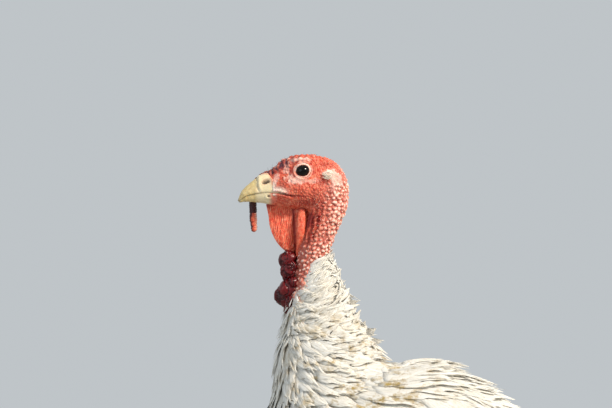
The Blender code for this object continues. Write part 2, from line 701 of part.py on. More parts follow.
def make_dewlap(material, head, neck, bill):
    """The flap under the throat and the fold on each side of it."""
    steps = np.linspace(0, len(DEWLAP_EDGE) - 1, DEWLAP_SECTIONS)
    edge = smooth(DEWLAP_EDGE, steps)
    root = smooth(DEWLAP_ROOT, steps)
    rings = []
    for i in range(DEWLAP_SECTIONS):
        out, back = at(edge[i][0], 0, edge[i][1]), at(root[i][0], 0, root[i][1])
        spread = []
        for t, thick in DEWLAP_PROFILE:
            wave = DEWLAP_FOLD * math.sin(t * DEWLAP_WAVE[0]) * math.sin(i * DEWLAP_WAVE[1])
            point = back + (out - back) * t
            half = DEWLAP_THICKNESS * thick
            spread.append((point + np.array([0, wave - half, 0]), point + np.array([0, wave + half, 0])))
        rings.append([low for low, _ in spread] + [high for _, high in reversed(spread)])
    flap = loft("dewlap", rings, material)
    folds = []
    line = smooth(THROAT_FOLD, np.linspace(0, len(THROAT_FOLD) - 1, THROAT_FOLD_SECTIONS))
    swell = np.sin(np.pi * np.linspace(0, 1, len(line)))
    radii = THROAT_FOLD_RADIUS[0] + (THROAT_FOLD_RADIUS[1] - THROAT_FOLD_RADIUS[0]) * swell
    for side in (-1, 1):
        spread = side * np.linspace(*THROAT_FOLD_SPREAD, len(line))
        path = [at(x, 0, z) + np.array([0, y, 0]) for (x, z), y in zip(line, spread)]
        folds.append(tube("fold", path, radii, 8, None, THROAT_FOLD_FLAT))
    combine(flap, folds, "UNION")
    return combine(flap, [grown(head), grown(neck), grown(bill)], "DIFFERENCE")


def make_caruncles(material, neck, lower_neck, dewlap):
    """The large dark caruncles at the foot of the bare neck: bulbs that swell into each other."""
    bulbs = []
    for x, y, z, radius in CARUNCLES:
        for side in (-1, 1) if y else (1,):
            radii = np.array(CARUNCLE_SHAPE) * radius * MM
            bulbs.append(ellipsoid("caruncles", at(x, side * y, z), radii, None, 8, 5, material))
    caruncles = combine(bulbs[0], bulbs[1:], "UNION")
    return combine(caruncles, [grown(neck), grown(lower_neck), grown(dewlap)], "DIFFERENCE")


def make_beard(material, torso, neck):
    """The tuft of black bristles on the breast: locks that spring from one root and hang over it."""
    t = np.linspace(0, 1, 5)
    place = body_points(BEARD_STATIONS[0], 180.0)
    root = ellipsoid("beard", place, [BEARD_ROOT_RADIUS] * 3, None, 8, 6, material)
    locks = []
    for i in range(BEARD_LOCKS):
        spread = (i - (BEARD_LOCKS - 1) / 2) * BEARD_SPREAD
        length = 1 - BEARD_SHORTER * (i % 3)
        stations = BEARD_STATIONS[0] + (BEARD_STATIONS[1] - BEARD_STATIONS[0]) * length * t
        away = BEARD_RADIUS * (0.3 + 1.2 * (i % 2)) + BEARD_BOW * np.sin(t * 1.8)
        path = body_points(stations, 180.0 + spread * (0.25 + 0.75 * t), away)
        locks.append(tube("lock", path, BEARD_RADIUS * (1 + 0.25 * np.sin(3 * t) - 0.85 * t**3), 4))
    combine(root, locks, "UNION")
    return combine(root, [grown(torso), grown(neck)], "DIFFERENCE")


def lie_on_body(s, angle, lift):
    """Points above the body's surface and the directions away from it."""
    points = body_points(s, angle, lift)
    away = body_points(s, angle, np.asarray(lift) + MM) - points
    return points, away / np.linalg.norm(away, axis=-1, keepdims=True)


def wing_place(along, down):
    """Station and angle of a place on the folded wing: along it to the rear, down from its upper edge."""
    rows = smooth(WING_OUTLINE, np.asarray(along) * (len(WING_OUTLINE) - 1))
    return rows[..., 0], rows[..., 1] + (rows[..., 2] - rows[..., 1]) * down


def wing_edge(down):
    """How much lower the wing's feathers and flesh lie towards its upper and lower edge."""
    return 0.74 + 0.26 * np.sin(np.pi * np.clip(down, 0, 1)) ** 0.6


def make_wing(material, torso):
    """The folded left wing: flesh and down at its front, and tiers of feathers that spring from it, each
    feather over the next one below it and each tier over the one behind it."""
    along, down = np.meshgrid(np.linspace(0, 1, len(WING_FLESH)), np.linspace(0, 1, 5), indexing="ij")
    height = np.array(WING_FLESH)[:, None] * MM * np.sin(np.pi * np.clip(down, 0.04, 0.96)) ** 0.5
    place = wing_place(along * WING_FLESH_END, down)
    wing = plate("wing_left", body_points(*place, height), body_points(*place, -WING_SINK), material)
    feathers = []
    for count, top_root, top_tip, low_root, low_tip, height, sections in WING_TIERS.values():
        shape = np.array(FLIGHT_VANE if sections == len(FLIGHT_VANE) else COVERT_VANE)
        part = np.linspace(0, 1, count)[:, None, None]
        root = np.array(top_root) + (np.array(low_root) - top_root) * part
        tip = np.array(top_tip) + (np.array(low_tip) - top_tip) * part
        tip[..., 0] += WING_BOW * np.sin(np.pi * part[..., 0])
        place = root + (tip - root) * shape[:, :1]
        lift = wing_edge(place[..., 1]) * height * MM
        lift[:, 0] *= ROOT_HEIGHT
        paths, normals = lie_on_body(*wing_place(place[..., 0], place[..., 1]), lift)
        apart = np.gradient(paths, axis=0)
        along = np.gradient(paths, axis=1)
        along /= np.linalg.norm(along, axis=-1, keepdims=True)
        spacing = np.linalg.norm(apart - along * (apart * along).sum(-1, keepdims=True), axis=-1)
        for path, away, step in zip(paths, normals, spacing):
            widths = step * VANE_OVERLAP * shape[:, 1]
            feathers.append(vane(path, away, widths, VANE_DEPTH, SHINGLE_STEP / step))
    combine(wing, feathers, "UNION")
    return combine(wing, [grown(torso), tail_stump("stump", TAIL_MARGIN)], "DIFFERENCE")


def wing_cover():
    """A plain shell just outside the lower edge of the folded wing, to cut the thigh clear of it."""
    along, down = np.meshgrid(np.linspace(0.1, 0.95, 12), np.linspace(0.5, 1.12, 6), indexing="ij")
    place = wing_place(along, down)
    return plate("cover", body_points(*place, WING_COVER[0]), body_points(*place, -WING_COVER[1]))


def tail_frame(part, side=0.0, rise=0.0):
    """A point of the tail: part of its length, distance to the side, height above its middle line."""
    drop = math.radians(TAIL_DROP)
    away = np.array([math.cos(drop), 0, -math.sin(drop)])
    up = np.array([math.sin(drop), 0, math.cos(drop)])
    root = at(TAIL_ROOT[0], 0, TAIL_ROOT[1])
    line = root + away * TAIL_LENGTH * part - up * TAIL_SAG * max(part, 0) ** 2
    return line + np.array([0, side, 0]) + up * rise, up


def tail_stump(name, margin=0.0, material=None):
    """The flesh and down at the root of the tail, flattening out under the feathers."""
    rings = []
    turn = np.arange(10) * 2 * np.pi / 10
    for flat in np.linspace(0, 1, 5):
        centre, up = tail_frame(TAIL_STUMP[0] + (TAIL_STUMP[1] - TAIL_STUMP[0]) * flat)
        width = TAIL_STUMP_SIZE[0] * (1 - TAIL_STUMP_TAPER[0] * flat) + margin
        depth = TAIL_STUMP_SIZE[1] * (1 - TAIL_STUMP_TAPER[1] * flat**1.6) + margin
        ring = centre + np.outer(np.cos(turn) * depth, up)
        ring[:, 1] += np.sin(turn) * width
        rings.append(ring)
    return loft(name, rings, material)


def tail_feather(parts, shift, rise, roll, half_widths, limits=(np.inf, np.inf)):
    """One feather of the tail or its coverts, from its places along, across and above the tail."""
    path = np.array([tail_frame(t, c, r)[0] for t, c, r in zip(parts, shift, rise)])
    normal = tail_frame(0)[1] * math.cos(roll) + np.array([0, math.sin(roll), 0])
    return vane(path, np.repeat(normal[None], len(path), 0), half_widths, VANE_DEPTH, 0.0, limits)


def make_tail(material, torso):
    """The folded tail: pairs of long feathers, each under the one above, and coverts at the root."""
    tail = tail_stump("tail", 0.0, material)
    steps, widths = np.array(TAIL_VANE).T
    feathers = []
    for side in (-1, 1):
        for i in range(TAIL_PAIRS):
            length = 1 - TAIL_SHORTER * i
            parts = -0.02 + (length + 0.02) * steps
            spacing = TAIL_SPACING[0] + (TAIL_SPACING[1] - TAIL_SPACING[0]) * parts
            shift = spacing * (i + 0.4)
            slopes = np.tan(np.radians(TAIL_ROLL * np.arange(i))).sum()
            fall = TAIL_STEP * (i + (side < 0)) + spacing * slopes
            # the inner half stops at the middle line, but the uppermost feather passes over it
            inner = np.inf if i == 0 and side > 0 else shift - TAIL_SPLIT
            limits = (inner, np.inf) if side < 0 else (np.inf, inner)
            roll = math.radians(TAIL_ROLL * i) * side
            rise = TAIL_TOP - fall
            feathers.append(tail_feather(parts, side * shift, rise, roll, TAIL_WIDTH * widths, limits))
    steps, widths = np.array(COVERT_VANE).T
    for count, root, tip, spacing, half_width, height in TAIL_COVERTS.values():
        for i in range(count):
            place = i - (count - 1) // 2
            parts = root + (tip - root - COVERT_SHORTER * abs(place)) * steps
            shift = place * spacing * MM * (1 + COVERT_SPREAD * steps)
            rise = np.full(len(steps), height * MM - np.sign(height) * COVERT_STEP * abs(place))
            rise[0] -= np.sign(height) * COVERT_SINK
            feathers.append(tail_feather(parts, shift, rise, 0.0, half_width * MM * widths))
    combine(tail, feathers, "UNION")
    return combine(tail, [grown(torso)], "DIFFERENCE")


def make_leg(feathers, scales, torso):
    """The left drumstick, shank and foot, and its spur."""
    rows = smooth(THIGH, np.linspace(0, len(THIGH) - 1, 9))
    spread = np.linspace(*THIGH_SPREAD, len(rows))
    path = [at(x, -y, z) for (x, z, _), y in zip(rows, spread)]
    thigh = tube("thigh_left", path, rows[:, 2] * MM, 16, feathers, THIGH_FLAT)
    combine(thigh, [grown(torso), wing_cover()], "DIFFERENCE")
    shank = make_shank(scales)
    combine(thigh, [grown(shank)], "DIFFERENCE")
    foot, claws = make_foot(scales)
    combine(shank, [grown(foot)], "DIFFERENCE")
    return thigh, shank, foot, claws


def make_shank(material):
    """The scaled shank, its front raised in a row of scutes."""
    top, bottom = at(*HOCK), at(*ANKLE)
    rings = []
    turn = np.arange(10) * 2 * np.pi / 10
    front = np.clip(-np.cos(turn), 0, 1)
    for i in range(SCUTES):
        for t, lift in (((i + 0.02) / SCUTES, SCUTE_LIFT), ((i + 0.9) / SCUTES, 0.0)):
            centre = top + (bottom - top) * t
            hock = HOCK_SWELL[0] * math.exp(-((t / HOCK_SWELL[1]) ** 2))
            ankle = ANKLE_SWELL[0] * math.exp(-(((1 - t) / ANKLE_SWELL[1]) ** 2))
            reach = SHANK_RADIUS + hock + ankle + lift * front**0.5
            ring = [np.cos(turn) * reach, np.sin(turn) * reach * SHANK_FLAT, 0 * turn]
            rings.append(centre + np.stack(ring, -1))
    shank = loft("shank_left", rings, material)
    root = bottom + (top - bottom) * SPUR_PLACE + SHANK_RADIUS * np.array([0.45, 0.6, 0])
    tip = root + np.array(SPUR_AWAY) * (SPUR_LENGTH + SHANK_RADIUS)
    spur_radii = [SPUR_RADIUS, SPUR_RADIUS * 0.75, 0.8 * MM]
    spur = tube("spur", [root, root + (tip - root) * 0.6, tip], spur_radii, 8)
    return combine(shank, [spur], "UNION")


def make_foot(material):
    """The left foot: four toes on flat pads, fused at the ball, and a claw on each toe."""
    ball = at(*BALL)
    pad = ellipsoid("foot_left", ball, PAD_SIZE, None, 10, 6, material)
    toes = []
    claws = []
    for word, (length, angle) in TOES.items():
        turn = math.radians(angle)
        away = np.array([-math.cos(turn), math.sin(turn), 0])
        across = (-away[1], away[0], 0)
        steps = np.linspace(0, 1, TOE_SECTIONS)
        spring = TOE_RISE[0] * np.clip(1 - steps / TOE_RISE[1], 0, 1)
        path = ball * [1, 1, 0] + away * steps[:, None] * length
        path[:, 2] = TOE_RADIUS - TOE_FLAT + spring - TOE_FLAT * steps
        knuckles = 1 + TOE_KNUCKLE * np.cos(np.pi * np.arange(TOE_SECTIONS))
        radii = TOE_RADIUS * (1 - TOE_TAPER * steps) * knuckles
        toes.append(tube("toe", path, radii, 7, None, 1.0, across))
        reach = np.linspace(0, 1, 5)
        line = path[-1] - away * CLAW_ROOT + away * reach[:, None] * (CLAW_LENGTH + CLAW_ROOT)
        line[:, 2] += 0.6 * MM - CLAW_DROP * reach**2
        radii = CLAW_RADIUS * (1 - 0.85 * reach)
        claws.append(tube("claw_left_" + word, line, radii, 6, None, 0.8, across))
    combine(pad, toes, "UNION")
    combine(pad, [below_floor(ball)], "DIFFERENCE")
    return pad, [combine(claw, [grown(pad), below_floor(ball)], "DIFFERENCE") for claw in claws]


def below_floor(place):
    """A block under the floor round a place, to cut flats on what stands there."""
    side, depth = FLOOR_CUT
    across = (-side / 2, side / 2)
    corners = [(x, y, z) for z in (-depth, 0.0) for y in across for x in across]
    points = [place * [1, 1, 0] + corner for corner in corners]
    faces = [(0, 2, 3, 1), (4, 5, 7, 6), (0, 1, 5, 4), (2, 6, 7, 3), (0, 4, 6, 2), (1, 3, 7, 5)]
    return make_object("below_floor", points, faces)


def place_on_origin(nodes):
    """Moves the bird so that the origin is under the middle of its length and width."""
    corners = [obj.matrix_world @ Vector(corner) for obj in nodes for corner in obj.bound_box]
    low = [min(corner[i] for corner in corners) for i in range(2)]
    high = [max(corner[i] for corner in corners) for i in range(2)]
    for obj in nodes:
        obj.location.x -= (low[0] + high[0]) / 2
        obj.location.y -= (low[1] + high[1]) / 2


def build():
    clear_scene()
    skin = make_material("red_skin", (0.62, 0.09, 0.06), 0.45)
    dark_skin = make_material("dark_caruncle", (0.20, 0.01, 0.02), 0.4)
    horn = make_material("horn", (0.72, 0.62, 0.40), 0.35)
    eye = make_material("eye", (0.01, 0.01, 0.012), 0.08)
    white = make_material("white_feather", (0.86, 0.85, 0.80), 0.8)
    scales = make_material("leg_scales", (0.72, 0.52, 0.42), 0.5)
    black = make_material("beard_bristle", (0.012, 0.011, 0.01), 0.5)

    upper_bill, lower_bill = make_bill(horn)
    head, eyes = make_head(skin, eye)
    upper_neck, lower_neck = make_neck(skin, white)
    torso = make_torso(white)
    make_snood(skin, head, upper_bill)
    dewlap = make_dewlap(skin, head, upper_neck, lower_bill)
    make_caruncles(dark_skin, upper_neck, lower_neck, dewlap)
    make_beard(black, torso, lower_neck)
    combine(upper_neck, small_caruncles(NECK_BULB_ROWS, NECK_BULB_ANGLES), "UNION")
    add_ruff(lower_neck, torso)
    make_tail(white, torso)
    wing = make_wing(white, torso)
    thigh, shank, foot, claws = make_leg(white, scales, torso)
    for claw in claws:
        claw.data.materials.append(horn)
    pairs = [wing, thigh, shank, foot, *claws]
    for obj in pairs:
        mirrored(obj, obj.name.replace("left", "right"))
    nodes = list(bpy.context.scene.collection.objects)
    place_on_origin(nodes)
    for obj in nodes:
        obj.data.shade_smooth()
        obj.data.set_sharp_from_angle(angle=math.radians(40))


build()
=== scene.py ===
import functools
import math

import bpy
import numpy as np
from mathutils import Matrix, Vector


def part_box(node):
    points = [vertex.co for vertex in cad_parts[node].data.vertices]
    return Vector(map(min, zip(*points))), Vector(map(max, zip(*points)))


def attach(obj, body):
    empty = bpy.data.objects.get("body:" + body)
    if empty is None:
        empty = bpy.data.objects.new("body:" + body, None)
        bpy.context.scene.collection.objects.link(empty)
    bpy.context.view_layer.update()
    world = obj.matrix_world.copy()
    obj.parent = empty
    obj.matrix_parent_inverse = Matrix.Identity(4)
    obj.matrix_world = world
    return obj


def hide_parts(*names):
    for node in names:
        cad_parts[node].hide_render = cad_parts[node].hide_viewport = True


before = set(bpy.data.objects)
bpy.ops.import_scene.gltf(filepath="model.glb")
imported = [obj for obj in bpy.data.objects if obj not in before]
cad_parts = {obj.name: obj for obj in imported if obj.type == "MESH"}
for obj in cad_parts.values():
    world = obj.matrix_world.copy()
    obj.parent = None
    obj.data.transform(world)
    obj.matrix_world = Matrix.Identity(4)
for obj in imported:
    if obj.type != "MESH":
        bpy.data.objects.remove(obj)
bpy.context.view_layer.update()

# Sizes below are in millimetres from the eye: x towards the tail, y to the bird's right, z up
eyePlace = np.array(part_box("eye_left")).mean(0) * [1, 0, 1]
mm = 0.001
bothSides = ((-1, "left"), (1, "right"))

# The same stations as the solids: upper (or rear) x, z, lower (or front) x, z, half width
bodyStations = np.array([
    (-41.0, -2.0, -32.0, -33.0, 9.5),  # 0 root of the bill
    (-24.0, 9.5, -21.0, -36.0, 13.6),  # 1 lores
    (-5.0, 16.4, -9.0, -37.5, 16.6),  # 2 brow
    (16.0, 15.4, 0.0, -38.6, 17.4),  # 3 crown
    (34.5, 5.8, 4.0, -40.0, 17.2),  # 4 back of the crown
    (43.0, -13.0, 5.5, -43.5, 17.0),  # 5 occiput
    (42.5, -36.0, 3.5, -51.0, 17.0),  # 6 nape
    (31.5, -62.0, -3.0, -76.0, 17.0),  # 7 upper neck
    (25.5, -83.0, -9.0, -107.0, 18.0),  # 8 where the feathers start
    (34.0, -107.0, -13.5, -130.0, 23.0),
    (49.0, -138.0, -20.0, -156.0, 33.0),
    (71.0, -172.0, -27.0, -184.0, 47.0),  # 11 foot of the neck
    (94.0, -202.0, -32.0, -235.0, 65.0),
    (150.0, -210.0, -48.0, -300.0, 96.0),  # 13 withers
    (225.0, -243.0, -74.0, -395.0, 126.0),
    (300.0, -289.0, -38.0, -485.0, 138.0),
    (365.0, -331.0, 70.0, -545.0, 134.0),  # 16 keel
    (418.0, -366.0, 200.0, -552.0, 117.0),
    (456.0, -391.0, 310.0, -513.0, 88.0),
    (482.0, -408.0, 390.0, -464.0, 58.0),  # 19 rump
    (497.0, -418.0, 438.0, -440.0, 34.0),
])


def smoothRows(rows, steps):
    # Smooth cubic curve through rows of numbers, read at fractional row numbers, and straight on past its ends. Its
    # slope at each row is half the step between the rows on both sides of it
    rows = np.asarray(rows, float)
    padded = np.concatenate([[2 * rows[0] - rows[1]], rows, [2 * rows[-1] - rows[-2]]])
    steps = np.asarray(steps, float)
    inside = np.clip(steps, 0, len(rows) - 1)
    i = np.clip(np.floor(inside).astype(int), 0, len(rows) - 2)
    t, past = (inside - i)[..., None], (steps - inside)[..., None]
    a, b, c, d = padded[i], padded[i + 1], padded[i + 2], padded[i + 3]
    curve = 0.5 * (2 * b + (c - a) * t + (2 * a - 5 * b + 4 * c - d) * t**2 + (3 * b - a - 3 * c + d) * t**3)
    return curve + past * np.where(past < 0, rows[1] - rows[0], rows[-1] - rows[-2])


def unit(vectors):
    return vectors / np.maximum(np.linalg.norm(vectors, axis=-1, keepdims=True), 1e-12)


def ease(value, low, high):
    # 0 below low, 1 above high and a smooth S between them (low may be the larger one)
    t = np.clip((value - low) / (high - low), 0, 1)
    return t * t * (3 - 2 * t)


def bell(value, width):
    return np.exp(-((value / width) ** 2))


def between(pair, part):
    return pair[0] + (pair[1] - pair[0]) * part


def readOff(pairs, place):
    # The value at a place on the straight lines through pairs of place and value
    return np.interp(place, *np.array(pairs).T)


def turns(count):
    # Angles (radians) spread evenly round a circle
    return np.arange(count) * 2 * np.pi / count


def asArrays(*values):
    # Numbers and arrays brought to one shape
    return np.broadcast_arrays(*(np.asarray(v, float) for v in values))


def tints(*layers):
    # Up to four amounts at each point, for a material to read as a colour and its alpha
    return np.stack(asArrays(*layers, *[0.0] * (4 - len(layers))), -1)


def bodySurface(s, angle, lift=0.0):
    # An ellipse for each station: middle + reach * cos(angle) in the plane of symmetry, and half width *
    # sin(angle) across it, a little wider below; then moved out along its normal by lift (mm)
    s, angle, lift = asArrays(s, angle, lift)

    def section(s, angle):
        row = smoothRows(bodyStations, s)
        turn = np.radians(angle)
        middle, reach = (row[..., :2] + row[..., 2:4]) / 2, (row[..., :2] - row[..., 2:4]) / 2
        y = -row[..., 4] * np.sin(turn) * (1 - 0.10 * np.cos(turn))
        x, z = (middle[..., i] + reach[..., i] * np.cos(turn) for i in range(2))
        return np.stack([x, y, z], -1)

    along = section(s + 0.02, angle) - section(s - 0.02, angle)
    around = section(s, angle + 1) - section(s, angle - 1)
    return section(s, angle) + unit(np.cross(around, along)) * lift[..., None]


def lieOn(surface, a, b, lift):
    # Points above a surface and the directions away from it
    points = surface(a, b, lift)
    return points, unit(surface(a, b, np.asarray(lift) + 1.0) - points)


def wallNoise(points, size, seed):
    # Smooth value noise: eight random corners of a cube of that size (mm), blended by an S curve
    cell = points / size
    low = np.floor(cell).astype(np.int64)
    part = cell - low
    part = part * part * (3 - 2 * part)
    total = 0.0
    for corner in np.ndindex(2, 2, 2):
        at = low + np.array(corner)
        code = (at[..., 0] * 73856093) ^ (at[..., 1] * 19349663) ^ (at[..., 2] * 83492791) ^ (seed * 2654435761)
        code = (code ^ (code >> 13)) * 1274126177 & 0xFFFFFFFF
        value = (code ^ (code >> 16)) % 65536 / 32768.0 - 1.0
        weight = np.prod(np.where(np.array(corner) == 1, part, 1 - part), -1)
        total = total + value * weight
    return total


def scatterOn(surface, aRange, bRange, spacing, tries, seed):
    # Random places on a surface, none closer to another than the spacing (mm), a number or a function of the place
    draw = np.random.default_rng(seed)
    spots = draw.uniform([aRange[0], bRange[0]], [aRange[1], bRange[1]], (tries, 2))
    points = surface(spots[:, 0], spots[:, 1], 0.0)
    gaps = np.broadcast_to(spacing(*spots.T) if callable(spacing) else spacing, len(spots))
    kept = np.empty((tries, 3))
    chosen = []
    for i in np.flatnonzero(gaps > 0):
        n = len(chosen)
        if n and ((kept[:n] - points[i]) ** 2).sum(1).min() < gaps[i] ** 2:
            continue
        kept[n] = points[i]
        chosen.append(i)
    return spots[chosen]


# Meshes
def gridFaces(rows, columns, loop):
    # Quads of a grid of points; loop joins the last column to the first
    i, j = np.meshgrid(np.arange(rows - 1), np.arange(columns if loop else columns - 1), indexing="ij")
    k = (j + 1) % columns
    return np.stack([i * columns + j, i * columns + k, (i + 1) * columns + k, (i + 1) * columns + j], -1).reshape(-1, 4)


def addPiece(name, points, groups, material, slot, replaced=(), uv=None, **layers):
    # Puts a closed shape (points in mm, groups of equal-sided faces) into a mesh whose faces look outwards
    points = np.asarray(points, float).reshape(-1, 3)
    corners = np.concatenate([np.concatenate([g[:, [0, i, i + 1]] for i in range(1, g.shape[1] - 1)]) for g in groups])
    a, b, c = (points[corners[:, i]] for i in range(3))
    if (a * np.cross(b, c)).sum() < 0:
        groups = [g[:, ::-1] for g in groups]
    loops = np.concatenate([g.ravel() for g in groups])
    sizes = np.concatenate([np.full(len(g), g.shape[1]) for g in groups])
    mesh = bpy.data.meshes.new(name)
    mesh.vertices.add(len(points))
    mesh.vertices.foreach_set("co", (points * mm + eyePlace).ravel())
    mesh.loops.add(len(loops))
    mesh.loops.foreach_set("vertex_index", loops.astype(np.int32))
    mesh.polygons.add(len(sizes))
    mesh.polygons.foreach_set("loop_start", np.concatenate([[0], np.cumsum(sizes)[:-1]]).astype(np.int32))
    mesh.update(calc_edges=True)
    mesh.validate()
    mesh.shade_smooth()
    for key, values in layers.items():
        kind, word = ("FLOAT_COLOR", "color") if values.shape[-1] == 4 else ("FLOAT_VECTOR", "vector")
        mesh.attributes.new(key, kind, "POINT").data.foreach_set(word, values.astype(np.float32).ravel())
    if uv is not None:
        layer = mesh.uv_layers.new(name="OFBake")
        layer.data.foreach_set("uv", uv.reshape(-1, 2)[loops].astype(np.float32).ravel())
    mesh.materials.append(material)
    piece = bpy.data.objects.new(name, mesh)
    bpy.context.scene.collection.objects.link(piece)
    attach(piece, "root")
    if replaced:
        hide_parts(*replaced)


def addBodies(name, bodies, material, slot, *replaced, layer="tint"):
    # Closed bodies in one mesh, each given by rings of points (rows, columns, 3) and the layer's values at them.
    # Each end is closed by a fan to its middle
    points, values, groups, start = [], [], [], 0
    for rings, shades in bodies:
        rows, columns = rings.shape[:2]
        points += [rings.reshape(-1, 3), rings[:1].mean(1), rings[-1:].mean(1)]
        flat = np.broadcast_to(shades, (rows, columns, shades.shape[-1])).reshape(rows * columns, -1)
        values += [flat, flat[:1], flat[-1:]]
        j = np.arange(columns)
        k, end, middle = (j + 1) % columns, (rows - 1) * columns, rows * columns
        groups.append(gridFaces(rows, columns, True) + start)
        groups.append(np.stack([k, j, 0 * j + middle], -1) + start)
        groups.append(np.stack([end + j, end + k, 0 * j + middle + 1], -1) + start)
        start += middle + 2
    addPiece(name, np.concatenate(points), groups, material, slot, replaced, **{layer: np.concatenate(values)})


def addFlesh(name, rings, *replaced):
    # What the feathers grow on
    addBodies(name, [(rings, np.zeros(3))], bodyFeather, "white_feather", *replaced, layer="vane")


def tubeRings(path, radii, columns, across=(0.0, 1.0, 0.0), flat=1.0):
    # A circle of each radius about each point of a path, squeezed along the across direction by flat
    across, tangents = np.asarray(across, float), unit(np.gradient(path, axis=0))
    side = unit(across - tangents * (tangents @ across)[:, None])
    turn = turns(columns)[:, None]
    ring = np.cos(turn) * np.cross(tangents, side)[:, None] + flat * np.sin(turn) * side[:, None]
    return path[:, None] + ring * radii.reshape(len(path), -1, 1)


# Feathers
def vaneGrid(path, normals, widths, columns, cup, ragged, thickness, draw, point=0.3, roll=0.0):
    # Feather vanes along paths (count, rows, 3): offsets to both sides of the shaft, rolled about it, edges sunk by
    # cup, the end rounded and uneven; the underside lies a thickness below. Returns points and vane places
    count, rows = path.shape[:2]
    tangents = unit(np.gradient(path, axis=1))
    sides = unit(np.cross(tangents, normals))
    ups = np.cross(sides, tangents)
    turn = np.radians(np.asarray(roll, float)).reshape(-1, 1, 1)
    sides, ups = sides * np.cos(turn) + ups * np.sin(turn), ups * np.cos(turn) - sides * np.sin(turn)
    x = np.linspace(-1, 1, columns)
    length = np.linalg.norm(np.diff(path, axis=1), axis=-1).sum(1)
    row = np.linspace(0, 1, rows)
    fray = draw.uniform(-1, 1, (count, columns)) * ragged - point * x**2
    reach = (fray[:, None] * (row**3)[None, :, None]) * length[:, None, None]
    widths = np.broadcast_to(widths, (count, rows))[:, :, None]
    across = widths * x
    top = path[:, :, None] + sides[:, :, None] * across[..., None] + tangents[:, :, None] * reach[..., None]
    sink = np.asarray(cup).reshape(-1, 1, 1) * x**2 * widths
    top = top - ups[:, :, None] * sink[..., None]
    depth = thickness * (1 - 0.6 * row)[None, :, None, None]
    under = top - ups[:, :, None] * depth
    along = row[None, :, None] * length[:, None, None] + reach
    tone = np.broadcast_to(draw.uniform(0, 1, (count, 1, 1)), along.shape)
    vane = np.stack([np.broadcast_to(across, along.shape), along, tone], -1)
    return np.stack([top, under], 1), np.stack([vane, vane], 1)


def addFeathers(name, grid, material, roots, side=-1):
    # One mesh of many closed vanes. roots are the places of the feathers on their surface's unwrap, 0 to 1. On the
    # right side the vanes are mirrored, and turned so that their faces still look outwards
    points, vane = grid
    if side > 0:
        points, vane = (points * [1, -1, 1])[:, :, :, ::-1], (vane * [-1, 1, 1])[:, :, :, ::-1]
    count, _, rows, columns = points.shape[:4]
    points, vane = points.reshape(count, -1, 3), vane.reshape(count, -1, 3)
    half = rows * columns
    faces = gridFaces(rows, columns, False)
    rim = np.concatenate([np.arange(columns), np.arange(1, rows) * columns + columns - 1,
                          (rows - 1) * columns + np.arange(columns - 2, -1, -1), np.arange(rows - 2, 0, -1) * columns])
    nextRim = np.roll(rim, -1)
    shape = np.concatenate([faces, faces[:, ::-1] + half, np.stack([nextRim, rim, rim + half, nextRim + half], -1)])
    quads = (shape[None] + (np.arange(count) * half * 2)[:, None, None]).reshape(-1, 4)
    spread = vane[..., :2] / np.abs(vane[..., :2]).max(axis=(1, 2), keepdims=True) * 0.0015
    uv = np.clip(roots[:, None], 0.002, 0.998) + spread
    addPiece(name, points, [quads], material, "white_feather", uv=uv, vane=vane.reshape(-1, 3))


def coat(surface, spots, turn, length, width, lift, draw, shape, bend=0.0, stepA=0.01, stepB=0.5, **vaneMore):
    # Small feathers on a surface. From each spot (a, b) a feather runs for its length in the direction turn (degrees
    # from the first parameter towards the second); lift is its height above the surface from root to tip
    count, rows = lift.shape
    a, b = spots.T
    alongA = np.linalg.norm(surface(a + stepA, b, 0.0) - surface(a, b, 0.0), axis=-1) / stepA
    alongB = np.linalg.norm(surface(a, b + stepB, 0.0) - surface(a, b, 0.0), axis=-1) / stepB
    row = np.linspace(0, 1, rows)
    turn = np.radians(np.broadcast_to(turn, count)[:, None] + np.asarray(bend).reshape(-1, 1) * row)
    run = np.broadcast_to(length, count)[:, None] * row
    placeA = a[:, None] + run * np.cos(turn) / alongA[:, None]
    placeB = b[:, None] + run * np.sin(turn) / alongB[:, None]
    path, normals = lieOn(surface, placeA, placeB, lift)
    widths = np.broadcast_to(width, count)[:, None] * readOff(shape, row)
    return vaneGrid(path, normals, widths, columns=5, draw=draw, **vaneMore)


def unwrap(spots, aRange=(0.0, 20.5), bRange=(-180.0, 180.0)):
    # Places of the roots on the flattened surface
    return np.stack([(spots[:, i] - low) / (high - low) for i, (low, high) in enumerate((aRange, bRange))], -1)


# Materials
def hexColour(code):
    parts = [int(code[i:i + 2], 16) / 255 for i in (1, 3, 5)]
    return [c / 12.92 if c <= 0.04045 else ((c + 0.055) / 1.055) ** 2.4 for c in parts] + [1.0]


def newMaterial(name, sockets):
    material = bpy.data.materials.new(name)
    material.use_nodes = True
    shader = material.node_tree.nodes["Principled BSDF"]
    for socket, value in sockets.items():
        shader.inputs[socket].default_value = hexColour(value) if isinstance(value, str) else value
    return material, material.node_tree


def addNode(tree, kind, inputs, out=0, **settings):
    # One node with its settings. Its inputs go by name or number: an output is linked, a hex code made a colour.
    # out is the name or number of the output that is used, or None for all of them
    node = tree.nodes.new("ShaderNode" + kind)
    for key, value in settings.items():
        setattr(node, key, value)
    for key, value in inputs.items():
        if isinstance(value, bpy.types.NodeSocket):
            tree.links.new(value, node.inputs[key])
        else:
            node.inputs[key].default_value = hexColour(value) if isinstance(value, str) else value
    return node.outputs if out is None else node.outputs[out]


def finish(material, colour, layers, height=None, depth=0.0):
    # Colours the surface with one colour under layers of others, each as strong as its amount says, and raises its
    # relief by height times depth (mm)
    tree = material.node_tree
    shader = tree.nodes["Principled BSDF"]
    for amount, layer in layers:
        colour = addNode(tree, "Mix", {0: amount, 6: colour, 7: layer}, 2, data_type="RGBA")
    tree.links.new(colour, shader.inputs["Base Color"])
    if height:
        tree.links.new(addNode(tree, "Bump", {"Height": height, "Distance": depth * mm}), shader.inputs["Normal"])
    return material


